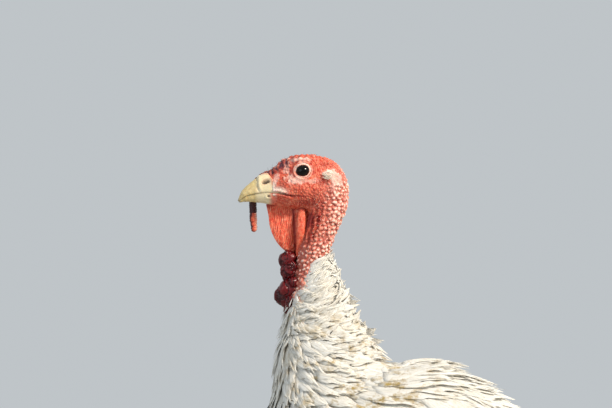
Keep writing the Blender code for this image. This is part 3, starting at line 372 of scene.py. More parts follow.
# Bare wattled skin: blood-red, thin and moist, pale where it is stretched or thickened, so it takes light a
# little way in and has a soft sheen over a pebbled surface. Sizes of blotches and pebbles are in mm
# Their tints also carry painted light: pale holds painted highlights on the tops of bulbs and ridges, and deep and dark
# hold painted shade in creases, hollows and under the jaw
skinTones = {
    "bare red head skin": {
        "red": "#c4422c", "light": "#e98c6c", "pale": "#f4d3c4", "deep": "#86110f", "dark": "#402233",
        "down": "#efe6d6", "roughness": 0.44, "blotch": 3.0, "pebble": 1.3, "relief": 0.26},
    "wattle skin": {
        "red": "#da5036", "light": "#f08d69", "pale": "#f6c0a6", "deep": "#84100e", "dark": "#2c0f1a",
        "down": "#efe9da", "roughness": 0.46, "blotch": 2.4, "pebble": 1.0, "relief": 0.24},
    "engorged caruncle skin": {
        "red": "#54090f", "light": "#7c1519", "pale": "#b14440", "deep": "#220306", "dark": "#120308",
        "down": "#efe9da", "roughness": 0.26, "blotch": 5.5, "pebble": 1.8, "relief": 0.14},
}


def makeSkin(name):
    look = skinTones[name]
    material, tree = newMaterial(name, {
        "Roughness": look["roughness"], "IOR": 1.42, "Specular IOR Level": 0.45, "Subsurface Weight": 0.2,
        "Subsurface Scale": 0.002, "Subsurface Radius": (1.0, 0.28, 0.16)})
    place = addNode(tree, "TexCoord", {}, "Object")
    tint = addNode(tree, "Attribute", {}, None, attribute_name="tint")
    parts = addNode(tree, "SeparateColor", {"Color": tint["Color"]}, None)
    cloud = addNode(tree, "TexNoise", {
        "Vector": place, "Scale": 1 / (look["blotch"] * mm), "Detail": 3.0, "Roughness": 0.6})
    blotch = addNode(tree, "MapRange", {"Value": cloud, "From Min": 0.38, "From Max": 0.66, "To Max": 0.7})
    cells = addNode(tree, "TexVoronoi", {"Vector": place, "Scale": 1 / (look["pebble"] * mm)})
    grain = addNode(tree, "TexNoise", {
        "Vector": place, "Scale": 1 / (0.6 * look["pebble"] * mm), "Detail": 3.0, "Roughness": 0.6})
    height = addNode(tree, "Math", {0: cells, 1: -1.0, 2: grain}, operation="MULTIPLY_ADD")
    layers = [(blotch, look["light"]), (parts["Red"], look["pale"]), (parts["Green"], look["deep"]),
              (parts["Blue"], look["dark"]), (tint["Alpha"], look["down"])]
    return finish(material, look["red"], layers, height, look["relief"])


headSkin, wattleSkin, carunculated = (makeSkin(name) for name in skinTones)

# White contour feather: keratin barbs hooked into a vane, so it is matt and lets some light through. Barbs run out
# and forward from a pale shaft and part into streaks. Real barbs are 0.4 mm apart and are drawn twice as wide
featherTones = {
    "white neck feather": {"white": "#f8f6f0", "shade": "#d6d0c2", "stain": 0.95, "streak": 0.75, "roughness": 0.62},
    "white body feather": {"white": "#f3f1ea", "shade": "#d4cec0", "stain": 0.7, "streak": 0.6, "roughness": 0.6},
    "white flight feather": {"white": "#f1eee6", "shade": "#d2ccbe", "stain": 0.35, "streak": 0.5, "roughness": 0.5},
}
stainPlace = {"middle": (62.0, -58.0, -205.0), "near": 20.0, "far": 125.0}  # mm from the eye


def makeFeather(name):
    look = featherTones[name]
    material, tree = newMaterial(name, {
        "Roughness": look["roughness"], "IOR": 1.54, "Specular IOR Level": 0.25, "Subsurface Weight": 0.3,
        "Subsurface Scale": 0.006, "Subsurface Radius": (1.0, 0.92, 0.8), "Sheen Weight": 0.1, "Sheen Roughness": 0.4})
    place = addNode(tree, "TexCoord", {}, "Object")
    vane = addNode(tree, "Attribute", {}, "Vector", attribute_name="vane")
    parts = addNode(tree, "SeparateXYZ", {"Vector": vane}, None)
    across = addNode(tree, "Math", {0: parts["X"]}, operation="ABSOLUTE")
    # streaks 1.1 mm wide and 14 mm long, other ones on each feather
    long = addNode(tree, "VectorMath", {0: vane, 1: (1 / 1.1, 1 / 14, 60.0)}, operation="MULTIPLY")
    streak = addNode(tree, "TexNoise", {"Vector": long, "Scale": 1.0, "Detail": 3.0, "Roughness": 0.6})
    part = addNode(tree, "MapRange", {"Value": streak, "From Min": 0.56, "From Max": 0.36, "To Max": look["streak"]})
    tone = addNode(tree, "MapRange", {"Value": parts["Z"], "To Max": 0.3})
    shaft = addNode(tree, "MapRange", {"Value": across, "From Min": 0.3, "From Max": 0.6, "To Min": 0.5, "To Max": 0.0})
    # dust and preen oil stain the shoulder and the foot of the neck yellow
    middle = np.array(stainPlace["middle"]) * mm + eyePlace
    away = addNode(tree, "VectorMath", {0: place, 1: middle}, "Value", operation="DISTANCE")
    near = addNode(tree, "MapRange", {
        "Value": away, "From Min": stainPlace["far"] * mm, "From Max": stainPlace["near"] * mm,
        "To Max": look["stain"]})
    cloud = addNode(tree, "TexNoise", {"Vector": place, "Scale": 1 / (13 * mm), "Detail": 3.0, "Roughness": 0.65})
    patch = addNode(tree, "MapRange", {"Value": cloud, "From Min": 0.50, "From Max": 0.66})
    stain = addNode(tree, "Math", {0: near, 1: patch}, operation="MULTIPLY")
    wide = addNode(tree, "TexNoise", {"Vector": place, "Scale": 1 / (34 * mm), "Detail": 3.0, "Roughness": 0.6})
    dust = addNode(tree, "MapRange", {"Value": wide, "From Min": 0.5, "From Max": 0.78, "To Max": 0.2})
    # barbs 0.8 mm apart, that lean forward from the shaft
    lay = addNode(tree, "Math", {0: across, 1: -0.9, 2: parts["Y"]}, operation="MULTIPLY_ADD")
    wave = addNode(tree, "Math", {0: lay, 1: 2 * math.pi / 0.8}, operation="MULTIPLY")
    barb = addNode(tree, "Math", {0: wave}, operation="SINE")
    height = addNode(tree, "Math", {0: streak, 1: 9.0, 2: barb}, operation="MULTIPLY_ADD")
    height = addNode(tree, "Math", {0: shaft, 1: 11.0, 2: height}, operation="MULTIPLY_ADD")
    layers = [(part, look["shade"]), (tone, "#efe9dc"), (shaft, "#f3ecdb"), (stain, "#ab8a30"), (dust, "#dccda6")]
    return finish(material, look["white"], layers, height, 0.045)


neckFeather, bodyFeather, flightFeather = (makeFeather(name) for name in featherTones)

# Horn: keratin in layers, smooth and a little translucent, streaked along its growth and stained at worn edges
hornTones = {
    "bill horn": {"base": "#e3cb90", "worn": "#c09a58", "edge": "#3a1f0d", "root": "#ecdcb8", "skin": "#cf5f4a",
                  "roughness": 0.34},
    "claw horn": {"base": "#d8c39a", "worn": "#bfa274", "edge": "#54402c", "root": "#e2cdb4", "skin": "#cf5f4a",
                  "roughness": 0.4},
}


def makeHorn(name):
    look = hornTones[name]
    material, tree = newMaterial(name, {
        "Roughness": look["roughness"], "IOR": 1.54, "Subsurface Weight": 0.15, "Subsurface Scale": 0.0015,
        "Subsurface Radius": (1.0, 0.7, 0.4), "Coat Weight": 0.1, "Coat Roughness": 0.3})
    place = addNode(tree, "TexCoord", {}, "Object")
    tint = addNode(tree, "Attribute", {}, "Color", attribute_name="tint")
    parts = addNode(tree, "SeparateColor", {"Color": tint}, None)
    cloud = addNode(tree, "TexNoise", {"Vector": place, "Scale": 1 / (2.6 * mm), "Detail": 4.0, "Roughness": 0.65})
    streak = addNode(tree, "MapRange", {"Value": cloud, "From Min": 0.4, "From Max": 0.72, "To Max": 0.8})
    grain = addNode(tree, "TexNoise", {"Vector": place, "Scale": 1 / (0.9 * mm), "Detail": 4.0, "Roughness": 0.6})
    layers = [(streak, look["worn"]), (parts["Green"], look["root"]), (parts["Red"], look["edge"]),
              (parts["Blue"], look["skin"])]
    return finish(material, look["base"], layers, grain, 0.12)


hornBill, legHorn = (makeHorn(name) for name in hornTones)


# Wet eye: a dark brown iris under a clear cornea, so it is nearly black with one small hard highlight
def makeEyeMaterial():
    material, tree = newMaterial("wet eye", {
        "Roughness": 0.05, "IOR": 1.376, "Specular IOR Level": 0.2, "Coat Weight": 0.2, "Coat Roughness": 0.02})
    tint = addNode(tree, "Attribute", {}, "Color", attribute_name="tint")
    parts = addNode(tree, "SeparateColor", {"Color": tint}, None)
    return finish(material, "#030202", [(parts["Red"], "#140b06"), (parts["Green"], "#050303")])


# Leg scales: horny plates over pink skin, satin, darker in the grooves between them
def makeLegSkin():
    material, tree = newMaterial("scaled leg skin", {
        "Roughness": 0.46, "IOR": 1.5, "Subsurface Weight": 0.12, "Subsurface Scale": 0.0015,
        "Subsurface Radius": (1.0, 0.45, 0.3)})
    place = addNode(tree, "TexCoord", {}, "Object")
    tint = addNode(tree, "Attribute", {}, "Color", attribute_name="tint")
    parts = addNode(tree, "SeparateColor", {"Color": tint}, None)
    cloud = addNode(tree, "TexNoise", {"Vector": place, "Scale": 1 / (9 * mm), "Detail": 3.0, "Roughness": 0.6})
    blotch = addNode(tree, "MapRange", {"Value": cloud, "From Min": 0.35, "From Max": 0.7})
    plate = addNode(tree, "MapRange", {"Value": parts["Green"], "To Max": 0.55})
    groove = addNode(tree, "MapRange", {"Value": parts["Red"], "To Max": 0.8})
    grain = addNode(tree, "TexNoise", {"Vector": place, "Scale": 1 / (0.8 * mm), "Detail": 4.0, "Roughness": 0.6})
    return finish(material, "#dcb3a0", [(blotch, "#c79585"), (plate, "#e6cfb2"), (groove, "#85574a")], grain, 0.12)


# Bristle: a hair-like feather without vanes, glossy along its length
def makeBristle(name, first, second, roughness):
    material, tree = newMaterial(name, {"Roughness": roughness, "IOR": 1.55})
    place = addNode(tree, "TexCoord", {}, "Object")
    cloud = addNode(tree, "TexNoise", {"Vector": place, "Scale": 1 / (3 * mm), "Detail": 2.0})
    tone = addNode(tree, "MapRange", {"Value": cloud, "From Min": 0.4, "From Max": 0.65})
    return finish(material, first, [(tone, second)])


wetEye, legSkin = makeEyeMaterial(), makeLegSkin()
beardBristle = makeBristle("beard bristle", "#0d0b0a", "#2a211a", 0.36)
darkHair = makeBristle("dark head hair", "#1d1416", "#4a2f2c", 0.4)
paleHair = makeBristle("pale head hair", "#f2e9da", "#d9c3ae", 0.5)
print("materials made")

# Skin of the whole bird, bare on the head and neck and hidden under the coat from there on
skinLook = {
    "columns": 288, "headRows": 290, "bodyRows": 44, "headEnd": 9.0, "bodyEnd": 20.0,
    "underCoat": 6.0,  # how far the skin lies below the solids' surface where feathers cover it
    "eyeHole": 7.0, "eyeDepth": 5.0, "lidRim": 9.0, "napeBulb": (1.3, 2.7), "cheekBulb": (0.6, 1.15),
    "earHole": (22.0, -5.6), "bulbAreas": ((3.3, 9.1), (-165, 165)), "cheekAreas": ((0.6, 6.0), (-150, 150)),
}
# Hollow before the eye, cheek, opening of the ear: x, z, half length, half height, height
headForms = [(-17.5, -1.0, 6.5, 8.0, -1.5), (3.0, -20.0, 17.0, 7.0, 1.2), (*skinLook["earHole"], 1.7, 1.5, -2.2)]
mouthLine = [(-64.5, -30.2), (-57.5, -25.4), (-51.0, -23.4), (-44.0, -22.2), (-35.4, -21.5), (-24.0, -21.8),
             (-11.0, -25.0)]
# Bare places of the ear, then pale places on the side of the head: x, z, half length, half height, amount
earPlaces = [(26.5, -2.6, 6.8, 5.0, 0.95), (33.0, -9.0, 6.2, 5.2, 0.9)]
palePlaces = [
    (-5.0, 11.2, 12.5, 2.4, 0.7), (-9.0, -8.0, 10.0, 4.6, 0.66), (4.0, -10.0, 11.0, 2.6, 0.4),
    (-26.5, -7.0, 3.2, 5.5, 0.45), (-16.5, 1.5, 3.0, 6.0, 0.45), *earPlaces, (31.0, -16.5, 8.0, 4.5, 0.5)]
# Red and dark places on it, in the same way
deepPlaces = [
    (-12.2, 0.8, 1.5, 4.6, 0.75), (-21.0, -11.5, 4.5, 4.5, 0.35), (19.0, -11.5, 3.0, 4.0, 0.5),
    (27.0, 7.5, 9.0, 4.5, 0.35), (6.0, -31.0, 15.0, 3.2, 0.55), (27.5, -20.5, 2.2, 4.5, 0.6),
    (13.0, -26.0, 5.0, 7.0, 0.35)]


def domes(grid, near, centres, radii, height):
    # The highest of many domes, height * radius * (1 - (distance / radius)^2)^0.4, how near each point is to the top
    # of its dome, 0 to 1, and the dome's number; 0 where near is false
    points, parts = grid[near], []
    for start in range(0, len(points), 4000):
        away = np.sqrt(((points[start:start + 4000, None] - centres) ** 2).sum(-1)) / radii
        dome = np.sqrt(np.clip(1 - away**2, 0, None))
        parts.append([(height * radii * dome**0.8).max(1), dome.max(1), dome.argmax(1)])
    result = np.zeros((3, *near.shape))
    result[:, near] = np.concatenate(parts, 1)
    return result[0], result[1], result[2].astype(int)


def patches(x, z, places, ragged=0.0):
    # The strongest of the ragged ovals that a point lies in
    amount = 0.0
    for middleX, middleZ, wide, high, strength in places:
        away = np.hypot((x - middleX) / wide, (z - middleZ) / high) + ragged
        amount = np.maximum(amount, strength * ease(away, 1.3, 0.6))
    return amount


def strongest(*amounts):
    return functools.reduce(np.maximum, amounts)


def headRelief(points, s, angle):
    # Everything that stands out of, or is sunk in, the bare skin, in mm along its normal, and its tints
    x, y, z = np.moveaxis(points, -1, 0)
    side, ridge = ease(np.abs(y), 5.0, 9.0), np.abs(angle)
    ragged = 0.50 * wallNoise(points * [1, 1, 1.3], 4.2, 21) + 0.36 * wallNoise(points, 1.7, 22)
    eye, around = np.hypot(x, z * 1.06), np.arctan2(z, x)
    rise = -skinLook["eyeDepth"] * ease(eye, skinLook["eyeHole"] + 0.6, skinLook["eyeHole"] - 0.9) * side
    rise += 0.9 * bell(eye - skinLook["lidRim"], 1.1) * side  # ring of skin round the lids
    creases = np.sin(eye * 2 * np.pi / 2.1 + 1.5 * wallNoise(points, 4.0, 3))
    rise += 0.30 * creases * bell(eye - 13.5, 3.8) * side * ease(np.cos(around - 0.3), -0.5, 0.5)
    rise += 1.7 * bell(z - 11.0 - 0.10 * x, 2.4) * bell(x + 2, 13.0) * side  # brow
    for middleX, middleZ, long, high, height in headForms:
        rise += height * bell(x - middleX, long) * bell(z - middleZ, high) * side
    line = z - readOff(mouthLine, x)
    gape = ease(x, -9.0, -14.0) * side
    rise += (0.9 * (bell(line - 2.2, 1.3) + bell(line + 2.0, 1.2)) - 1.5 * bell(line, 0.75)) * gape
    rise -= 1.0 * bell(line, 0.6) * ease(x, 4.0, -9.0) * side
    # under the horn of both bills the skin sinks away
    horn = ease(x + 0.03 * (z + 14) ** 2, -29.5, -33.5) * ease(z, -17.5, -15.5) * ease(z, 1.5, -1.0)
    horn += ease(x, -29.5, -32.5) * ease(z, -16.0, -18.0)
    rise -= 4.2 * np.clip(horn, 0, 1) * ease(np.abs(y), 2.0, 6.0)
    ear = patches(x, z, earPlaces, ragged) * side
    rise += 1.1 * ear + 0.5 * ear * wallNoise(points, 1.8, 24)
    # lumps and cross wrinkles of the forehead, that run down to the root of the snood
    brow = ease(ridge, 66, 36) * ease(s, 3.4, 2.2)
    fold, lump = np.sin(s * 21 + 2.6 * wallNoise(points, 5.0, 7) + 0.02 * ridge), wallNoise(points, 2.8, 8)
    rise += (0.45 * fold + 0.75 * lump) * brow * ease(s, -0.2, 0.4)
    rise -= 2.6 * bell(x + 32.0, 6.5) * ease(ridge, 80, 45)  # stop between forehead and bill
    # small wrinkles all over, and folds down the front of the neck
    rise += 0.32 * wallNoise(points * [1.0, 1.0, 0.7], 2.4, 11) + 0.24 * wallNoise(points, 1.2, 12)
    slant = np.sin((x * 0.85 + z * 0.5) * 2.2 + 2.2 * wallNoise(points, 5.0, 13))
    rise += 0.22 * slant * bell(x - 8, 12) * bell(z + 21, 9) * side
    throat = ease(ridge, 92, 112) * ease(s, 4.6, 5.3) * (1 - 0.75 * ease(s, 6.5, 7.3))
    rise += 1.1 * np.sin(angle / 180 * np.pi * 19 + 1.4 * wallNoise(points, 7.0, 5)) * throat
    pale = strongest(
        patches(x, z, palePlaces, ragged) * side,
        0.55 * bell(eye - 8.8, 0.8) * side * ease(wallNoise(points, 3.0, 23), -0.8, 0.0))
    cream = strongest(
        0.8 * bell(line - 3.2, 2.8) * ease(x + ragged, -11, -22) * side,
        0.75 * ease(x + ragged, -24.5, -29.0) * ease(z, -33, -22) * ease(z, -7.0, -14.0) * side)
    # deep holds the skin's own dark red places and also painted shade: along the crease of the mouth line, in the
    # opening of the ear, and in noisy patches over the front of the neck behind the dewlap
    deep = strongest(
        patches(x, z, deepPlaces, ragged) * side,
        0.85 * bell(line, 0.8) * ease(x, 6, -6) * side,
        0.6 * bell(eye - 10.6, 0.9) * side * ease(z, -7.0, 1.0),
        0.8 * bell(x - skinLook["earHole"][0], 1.6) * bell(z - skinLook["earHole"][1], 1.4) * side,
        0.9 * throat * ease(wallNoise(points * [1, 1, 0.4], 4.0, 31), -0.9, 0.3))
    pink = 0.5 * brow * ease(lump, 0.25, 0.8)
    # the forehead's own dark purple, made darker still in the troughs of its folds as painted shade
    dark = brow * ease(s, 2.3, 1.3) * (0.42 + 0.5 * ease(fold + lump, 0.5, -0.8))
    return rise, np.maximum(pale, pink), deep, np.clip(dark * (1 - pink), 0, 0.92), cream


def cape(s, angle):
    # Height (mm) of the loose plumes over the shoulders above the rest of the coat, which ends in two steps
    steps = ease(s, 13.5, 13.0) * (0.62 + 0.38 * ease(s, 12.6, 12.3))
    return 16.5 * ease(s, 11.1, 12.2) * steps * ease(np.abs(angle), 82, 36)


def makeSkinBody():
    # The body's surface moved along its normal by the relief of the head or the domes of the caruncles
    look = skinLook
    s = np.concatenate([np.linspace(0, look["headEnd"], look["headRows"]),
                        np.linspace(look["headEnd"], look["bodyEnd"], look["bodyRows"])[1:]])
    angle = np.arange(look["columns"]) * 360.0 / look["columns"]
    s, angle = np.meshgrid(s, np.where(angle > 180, angle - 360, angle), indexing="ij")
    ridge = np.abs(angle)
    points, normals = lieOn(bodySurface, s, angle, 0.0)
    rise, pale, deep, dark, cream = headRelief(points, s, angle)
    # caruncles: dense bulbs from the nape round to the sides of the neck, smaller ones on cheek and crown
    draw = np.random.default_rng(6)

    def apart(s, a):
        loose = 2.7 + 0.7 * ease(s, 4.2, 6.0) + 0.9 * wallNoise(np.stack([s * 9, a, s], -1), 14.0, 4)
        return np.where(np.abs(a) < 36 + 34 * (s - 3.1), loose, -1.0)

    spots = scatterOn(bodySurface, *look["bulbAreas"], apart, tries=18000, seed=5)
    spots = spots[spots[:, 0] < 8.2 + 0.9 * ease(np.abs(spots[:, 1]), 70, 115)]
    spotS, spotRidge = spots[:, 0], np.abs(spots[:, 1])
    core = strongest(ease(spotRidge, 135, 55) * ease(spotS, 3.4, 5.2),
                     0.9 * ease(spotS, 6.6, 7.2) * ease(spotRidge, 168, 145))
    size = between(look["napeBulb"], core * draw.uniform(0.1, 1.0, len(spots)))
    size = size * (1 - 0.4 * ease(spotS, 7.5, 8.2) * ease(spotRidge, 115, 80))
    centres = bodySurface(*spots.T, 0.0)
    clear = (patches(centres[:, 0], centres[:, 2], earPlaces) < 0.3) | (np.abs(centres[:, 1]) < 7)
    wide = [0.88, 1, 1.08]  # the bulbs are wider than high
    bent = points * wide + 1.0 * np.stack([wallNoise(points, 2.6, 15 + i) for i in range(3)], -1)
    bulb, top, number = domes(bent, (s > 2.4) & (s < 9.6), (centres * wide)[clear], size[clear], 1.05)
    ownTone = draw.uniform(0, 1, len(centres))[number]
    spots = scatterOn(bodySurface, *look["cheekAreas"], lambda s, a: 2.0 + 0.5 * np.sin(a), tries=9000, seed=8)
    cheek = bodySurface(*spots.T, 0.0)
    sizes = np.random.default_rng(9).uniform(*look["cheekBulb"], len(cheek))
    x, z = cheek[:, 0], cheek[:, 2]
    bald = (np.hypot(x, z) > 14) & (patches(x, z, earPlaces) < 0.2) & (x > -23)
    small, smallTop, _ = domes(points, s < 6.4, cheek[bald], sizes[bald], 0.6)
    rise = np.where(bulb > 0.3, bulb + 0.35 * rise, rise + np.maximum(small, bulb))
    nape = strongest(ease(ridge, 125, 60) * ease(s, 3.4, 5.2), 0.8 * ease(s, 6.6, 7.3))
    # pale on the tops of the nape bulbs and of the small cheek bulbs: partly the caruncles' own pale colour and partly
    # a painted highlight
    tip = ease(top, 0.5 + 0.35 * ownTone, 1.0) * (top > 0) * ease(ownTone + 0.4 * wallNoise(points, 2.2, 18), 1.4, 0.65)
    pale = strongest(
        pale, ((0.12 + 0.88 * nape) * tip + 0.27 * nape) * (0.85 + 0.3 * wallNoise(points, 1.3, 19)),
        0.2 * ease(smallTop, 0.7, 1.0))
    cream = strongest(cream, 0.55 * nape * ease(s, 6.0, 8.0) * ease(top, 0.8, 1.0) * ease(ownTone, 0.75, 0.35))
    # deeper red low between the nape bulbs: painted shade
    deep = np.where((top < 0.45) & (nape > 0.2), np.maximum(deep, 0.5 * nape), deep)
    # white down between the last bulbs, where the feathers begin; the bare skin reaches further down in front
    below = s - 0.6 * ease(ridge, 80, 125)
    down = ease(below + 0.3 * wallNoise(points, 5.0, 14), 7.9, 8.7) * ease(top, 0.75, 0.35)
    bare = ease(below, 9.2, 8.5)
    rise = rise * bare - look["underCoat"] * ease(below, 8.5, 10.5) + 0.6 * cape(s, angle)
    tint = tints(pale * bare, deep * bare, dark * bare, strongest(0.9 * down, 0.97 * (1 - bare), cream))
    points = points + normals * rise[..., None]
    addBodies("skin", [(points, tint)], headSkin, "red_skin", "head", "neck_upper", "neck_lower", "torso")


makeSkinBody()
print("skin made")

# Bill: an arch from the line of the mouth over the ridge, with the cere behind it lying over the head's skin
billLook = {"rows": 90, "columns": 72, "nostril": (-37.0, -11.0), "slope": 17.0, "darkPit": (-34.0, -25.2)}
upperBill = [(-65.3, -29.4, 0.5), (-61.4, -20.0, 4.6), (-55.2, -13.6, 6.9), (-48.4, -7.9, 8.8), (-41.6, -2.9, 10.3),
             (-34.5, -1.5, 12.2), (-28.0, -4.5, 13.4)]
lowerBill = [(-63.2, -30.9, 0.5), (-57.0, -30.2, 4.2), (-50.0, -30.5, 6.2), (-42.0, -31.2, 8.2), (-33.0, -33.0, 9.9),
             (-27.0, -33.8, 11.6), (-22.0, -33.0, 12.3)]


def makeBill(name, rows, side, node):
    # Ring of a section: round the arch, height * cos(turn)^0.85 above the mouth line and width * sin(turn) across
    # it, then back along a nearly flat roof of the mouth
    look = billLook
    steps = np.linspace(0, 6, look["rows"]) ** 1.25
    steps = steps / steps[-1] * 6
    ridge, mouth = smoothRows(rows, steps), smoothRows([*mouthLine[:6], (-19.0, -22.8)], steps)
    turn, back = np.linspace(-90, 90, look["columns"] - 12), np.linspace(90, -90, 14)[1:-1]
    arch = np.concatenate([np.abs(np.cos(np.radians(turn))) ** 0.85, -0.06 * np.cos(np.radians(back))])
    x = mouth[:, :1] + (ridge[:, :1] - mouth[:, :1]) * arch
    y = ridge[:, 2:] * np.sin(np.radians(np.concatenate([turn, back])))
    z = mouth[:, 1:] + 0.25 * side + (ridge[:, 1:2] - mouth[:, 1:]) * arch
    points = np.stack([x, y, z], -1)
    along, outer = steps[:, None] / 6, np.arange(len(arch)) < len(turn)
    away = unit(np.stack([0 * x, y, 0.8 * (z + 22.0)], -1))
    growth = 0.10 * np.sin(along * 46 + 0.6 * wallNoise(points, 8.0, 2)) * ease(along, 0.62, 0.2)
    growth += 0.16 * wallNoise(points, 3.0, 4)
    growth -= 4.6 * ease(along, 0.78, 0.98)  # its root sinks under the skin
    dark = 0.6 * ease(along, 0.07, 0.0) + 0.4 * ease(np.abs(arch), 0.985, 1.0) * ease(along, 0.75, 0.5)
    dark = dark + 0.3 * ease(np.abs(arch), 0.14, 0.02) * ease(along, 1.0, 0.5)
    if side > 0:
        slope = math.radians(look["slope"])
        dx, dz = x - look["nostril"][0], z - look["nostril"][1]
        u, v = dx * math.cos(slope) + dz * math.sin(slope), dz * math.cos(slope) - dx * math.sin(slope)
        slit = np.hypot(u / 4.2, (v + 0.03 * u * u - 0.2) / 1.75)
        growth += 1.1 * bell(slit - 1.8, 0.6) * ease(v, -2.5, 0.5) - 2.8 * ease(slit, 1.1, 0.5)
        growth += 1.0 * bell(np.hypot((u + 0.5) / 8.0, v / 6.0) - 1, 0.24) * ease(v, -5.5, 0.0)
        crease = x + 45.5 + 0.030 * (z + 13) * np.abs(z + 13)  # edge of the cere
        growth += (0.6 * bell(crease - 2.6, 1.9) - 0.8 * bell(crease, 0.9)) * ease(z, -22, -18)
        # dark in the nostril's hollow and along the crease at the edge of the cere: painted shade
        dark = strongest(dark, ease(slit, 1.2, 0.8) * 0.85, 0.30 * bell(crease, 0.8) * ease(z, -21, -15))
        red = strongest(
            0.55 * ease(z, -5.0, -1.5) * ease(x, -47, -42) + 0.3 * bell(slit - 1.25, 0.25),
            0.75 * ease(x + 0.03 * (z + 14) ** 2, -33.5, -29.5) * ease(z, -17, -12))
    else:
        # a small pit on the lower bill, painted dark in its middle
        darkPit = np.hypot((x - look["darkPit"][0]) * 0.8, (z - look["darkPit"][1]) * 1.2)
        growth += 0.4 * bell(darkPit - 2.5, 0.8) - 1.0 * ease(darkPit, 1.5, 0.6)
        dark = strongest(dark, 0.95 * ease(darkPit, 1.5, 0.8))
        red = 0.95 * ease(x, -35.0, -29.5)
    points = points + away * (growth * outer)[..., None]
    addBodies(name, [(points, tints(dark, 0.8 * ease(x, -49.0, -44.0), red))], hornBill, "horn", node)


makeBill("bill_top", upperBill, 1, "bill_upper")
makeBill("bill_bottom", lowerBill, -1, "bill_lower")
print("bill made")

# Eye: a wet dark ball; the iris is dark brown round a wide pupil
eyeLook = {"spread": 10.3, "radius": 8.0, "rows": 40, "columns": 64, "pupil": 3.1, "iris": 5.6}
lidLook = {"length": 6.9, "height": (6.2, 5.9), "thickness": 0.9, "rows": 96, "columns": 14}


def makeEye(side, word):
    # A ball from pole to pole, radius * (sin(rise), cos(rise)), drawn out a little into a cornea in front
    look = eyeLook
    rise, turn = np.linspace(0.02, np.pi - 0.02, look["rows"])[:, None], turns(look["columns"])
    around = look["radius"] * np.sin(rise)
    out = look["radius"] * np.cos(rise) + 0.55 * bell(around, 4.4) * (rise < np.pi / 2)
    points = np.stack(asArrays(around * np.cos(turn), side * (look["spread"] + out), around * np.sin(turn)), -1)
    iris = ease(around, look["pupil"] - 0.2, look["pupil"] + 0.5) * ease(around, look["iris"] + 0.7, look["iris"] - 0.2)
    tint = tints(iris * (0.75 + 0.25 * np.sin(turn * 23)), ease(around, look["iris"], look["iris"] + 0.8))
    addBodies("eyeball_" + word, [(points, tint)], wetEye, "eye", "eye_" + word)


def makeLids(side, word):
    # A rounded rim along an almond round the eye, (length * cos(turn), height * sin(turn)^0.9), resting on the ball,
    # thicker above
    look = lidLook
    turn, profile = turns(look["rows"]), turns(look["columns"])[:, None]
    height = np.where(np.sin(turn) > 0, *look["height"])
    x = look["length"] * np.cos(turn) * (1 - 0.05 * np.cos(turn))
    z = height * np.sign(np.sin(turn)) * np.abs(np.sin(turn)) ** 0.9 + 0.25 * np.cos(turn)
    y = eyeLook["spread"] + np.sqrt(eyeLook["radius"] ** 2 - np.clip(np.hypot(x, z), 0, 7.4) ** 2) + 0.45
    path, out = np.stack([x, side * y, z], -1), unit(np.stack([x, 0 * x, z], -1))
    thick = look["thickness"] * (1 + 0.15 * np.sin(turn) + 0.12 * np.sin(turn * 9))[:, None, None]
    ring = out[:, None] * (0.35 + 1.15 * np.cos(profile))
    ring = ring + np.array([0.0, side, 0.0]) * (0.75 * np.sin(profile) - 0.25 * np.cos(profile))
    points = path[:, None] + ring * thick
    grid = np.arange(points.shape[0] * points.shape[1]).reshape(points.shape[:2])
    corners = [grid, np.roll(grid, -1, 1), np.roll(grid, (-1, -1), (0, 1)), np.roll(grid, -1, 0)]
    inner = np.broadcast_to(ease(-np.cos(profile[:, 0]), 0.2, 0.9), grid.shape)
    tint = tints(0.8 - 0.5 * inner, 0.25 * inner, 0.5 * inner)
    addPiece("lids_" + word, points, [np.stack(corners, -1).reshape(-1, 4)], headSkin, "red_skin", tint=tint)


for side, word in bothSides:
    makeEye(side, word)
    makeLids(side, word)
print("eyes made")

# Snood: from the forehead over the far side of the bill, wrinkled across all its length. Path: x, y, z and radius
snoodLook = {"rows": 280, "columns": 40, "wrinkle": 2.3, "depth": 0.26}
snoodPath = [
    (-13.0, 0.3, 8.6, 4.2), (-19.0, 0.8, 5.6, 4.8), (-25.5, 1.8, 1.0, 4.9), (-32.0, 3.6, -3.4, 4.8),
    (-39.0, 7.4, -5.4, 4.4), (-46.0, 12.2, -10.5, 4.1), (-49.6, 13.8, -18.0, 3.9), (-50.5, 13.6, -29.0, 3.8),
    (-50.3, 12.8, -44.0, 3.7), (-49.6, 12.3, -54.0, 3.2), (-49.3, 12.1, -59.3, 2.4), (-49.2, 12.0, -60.6, 0.4)]


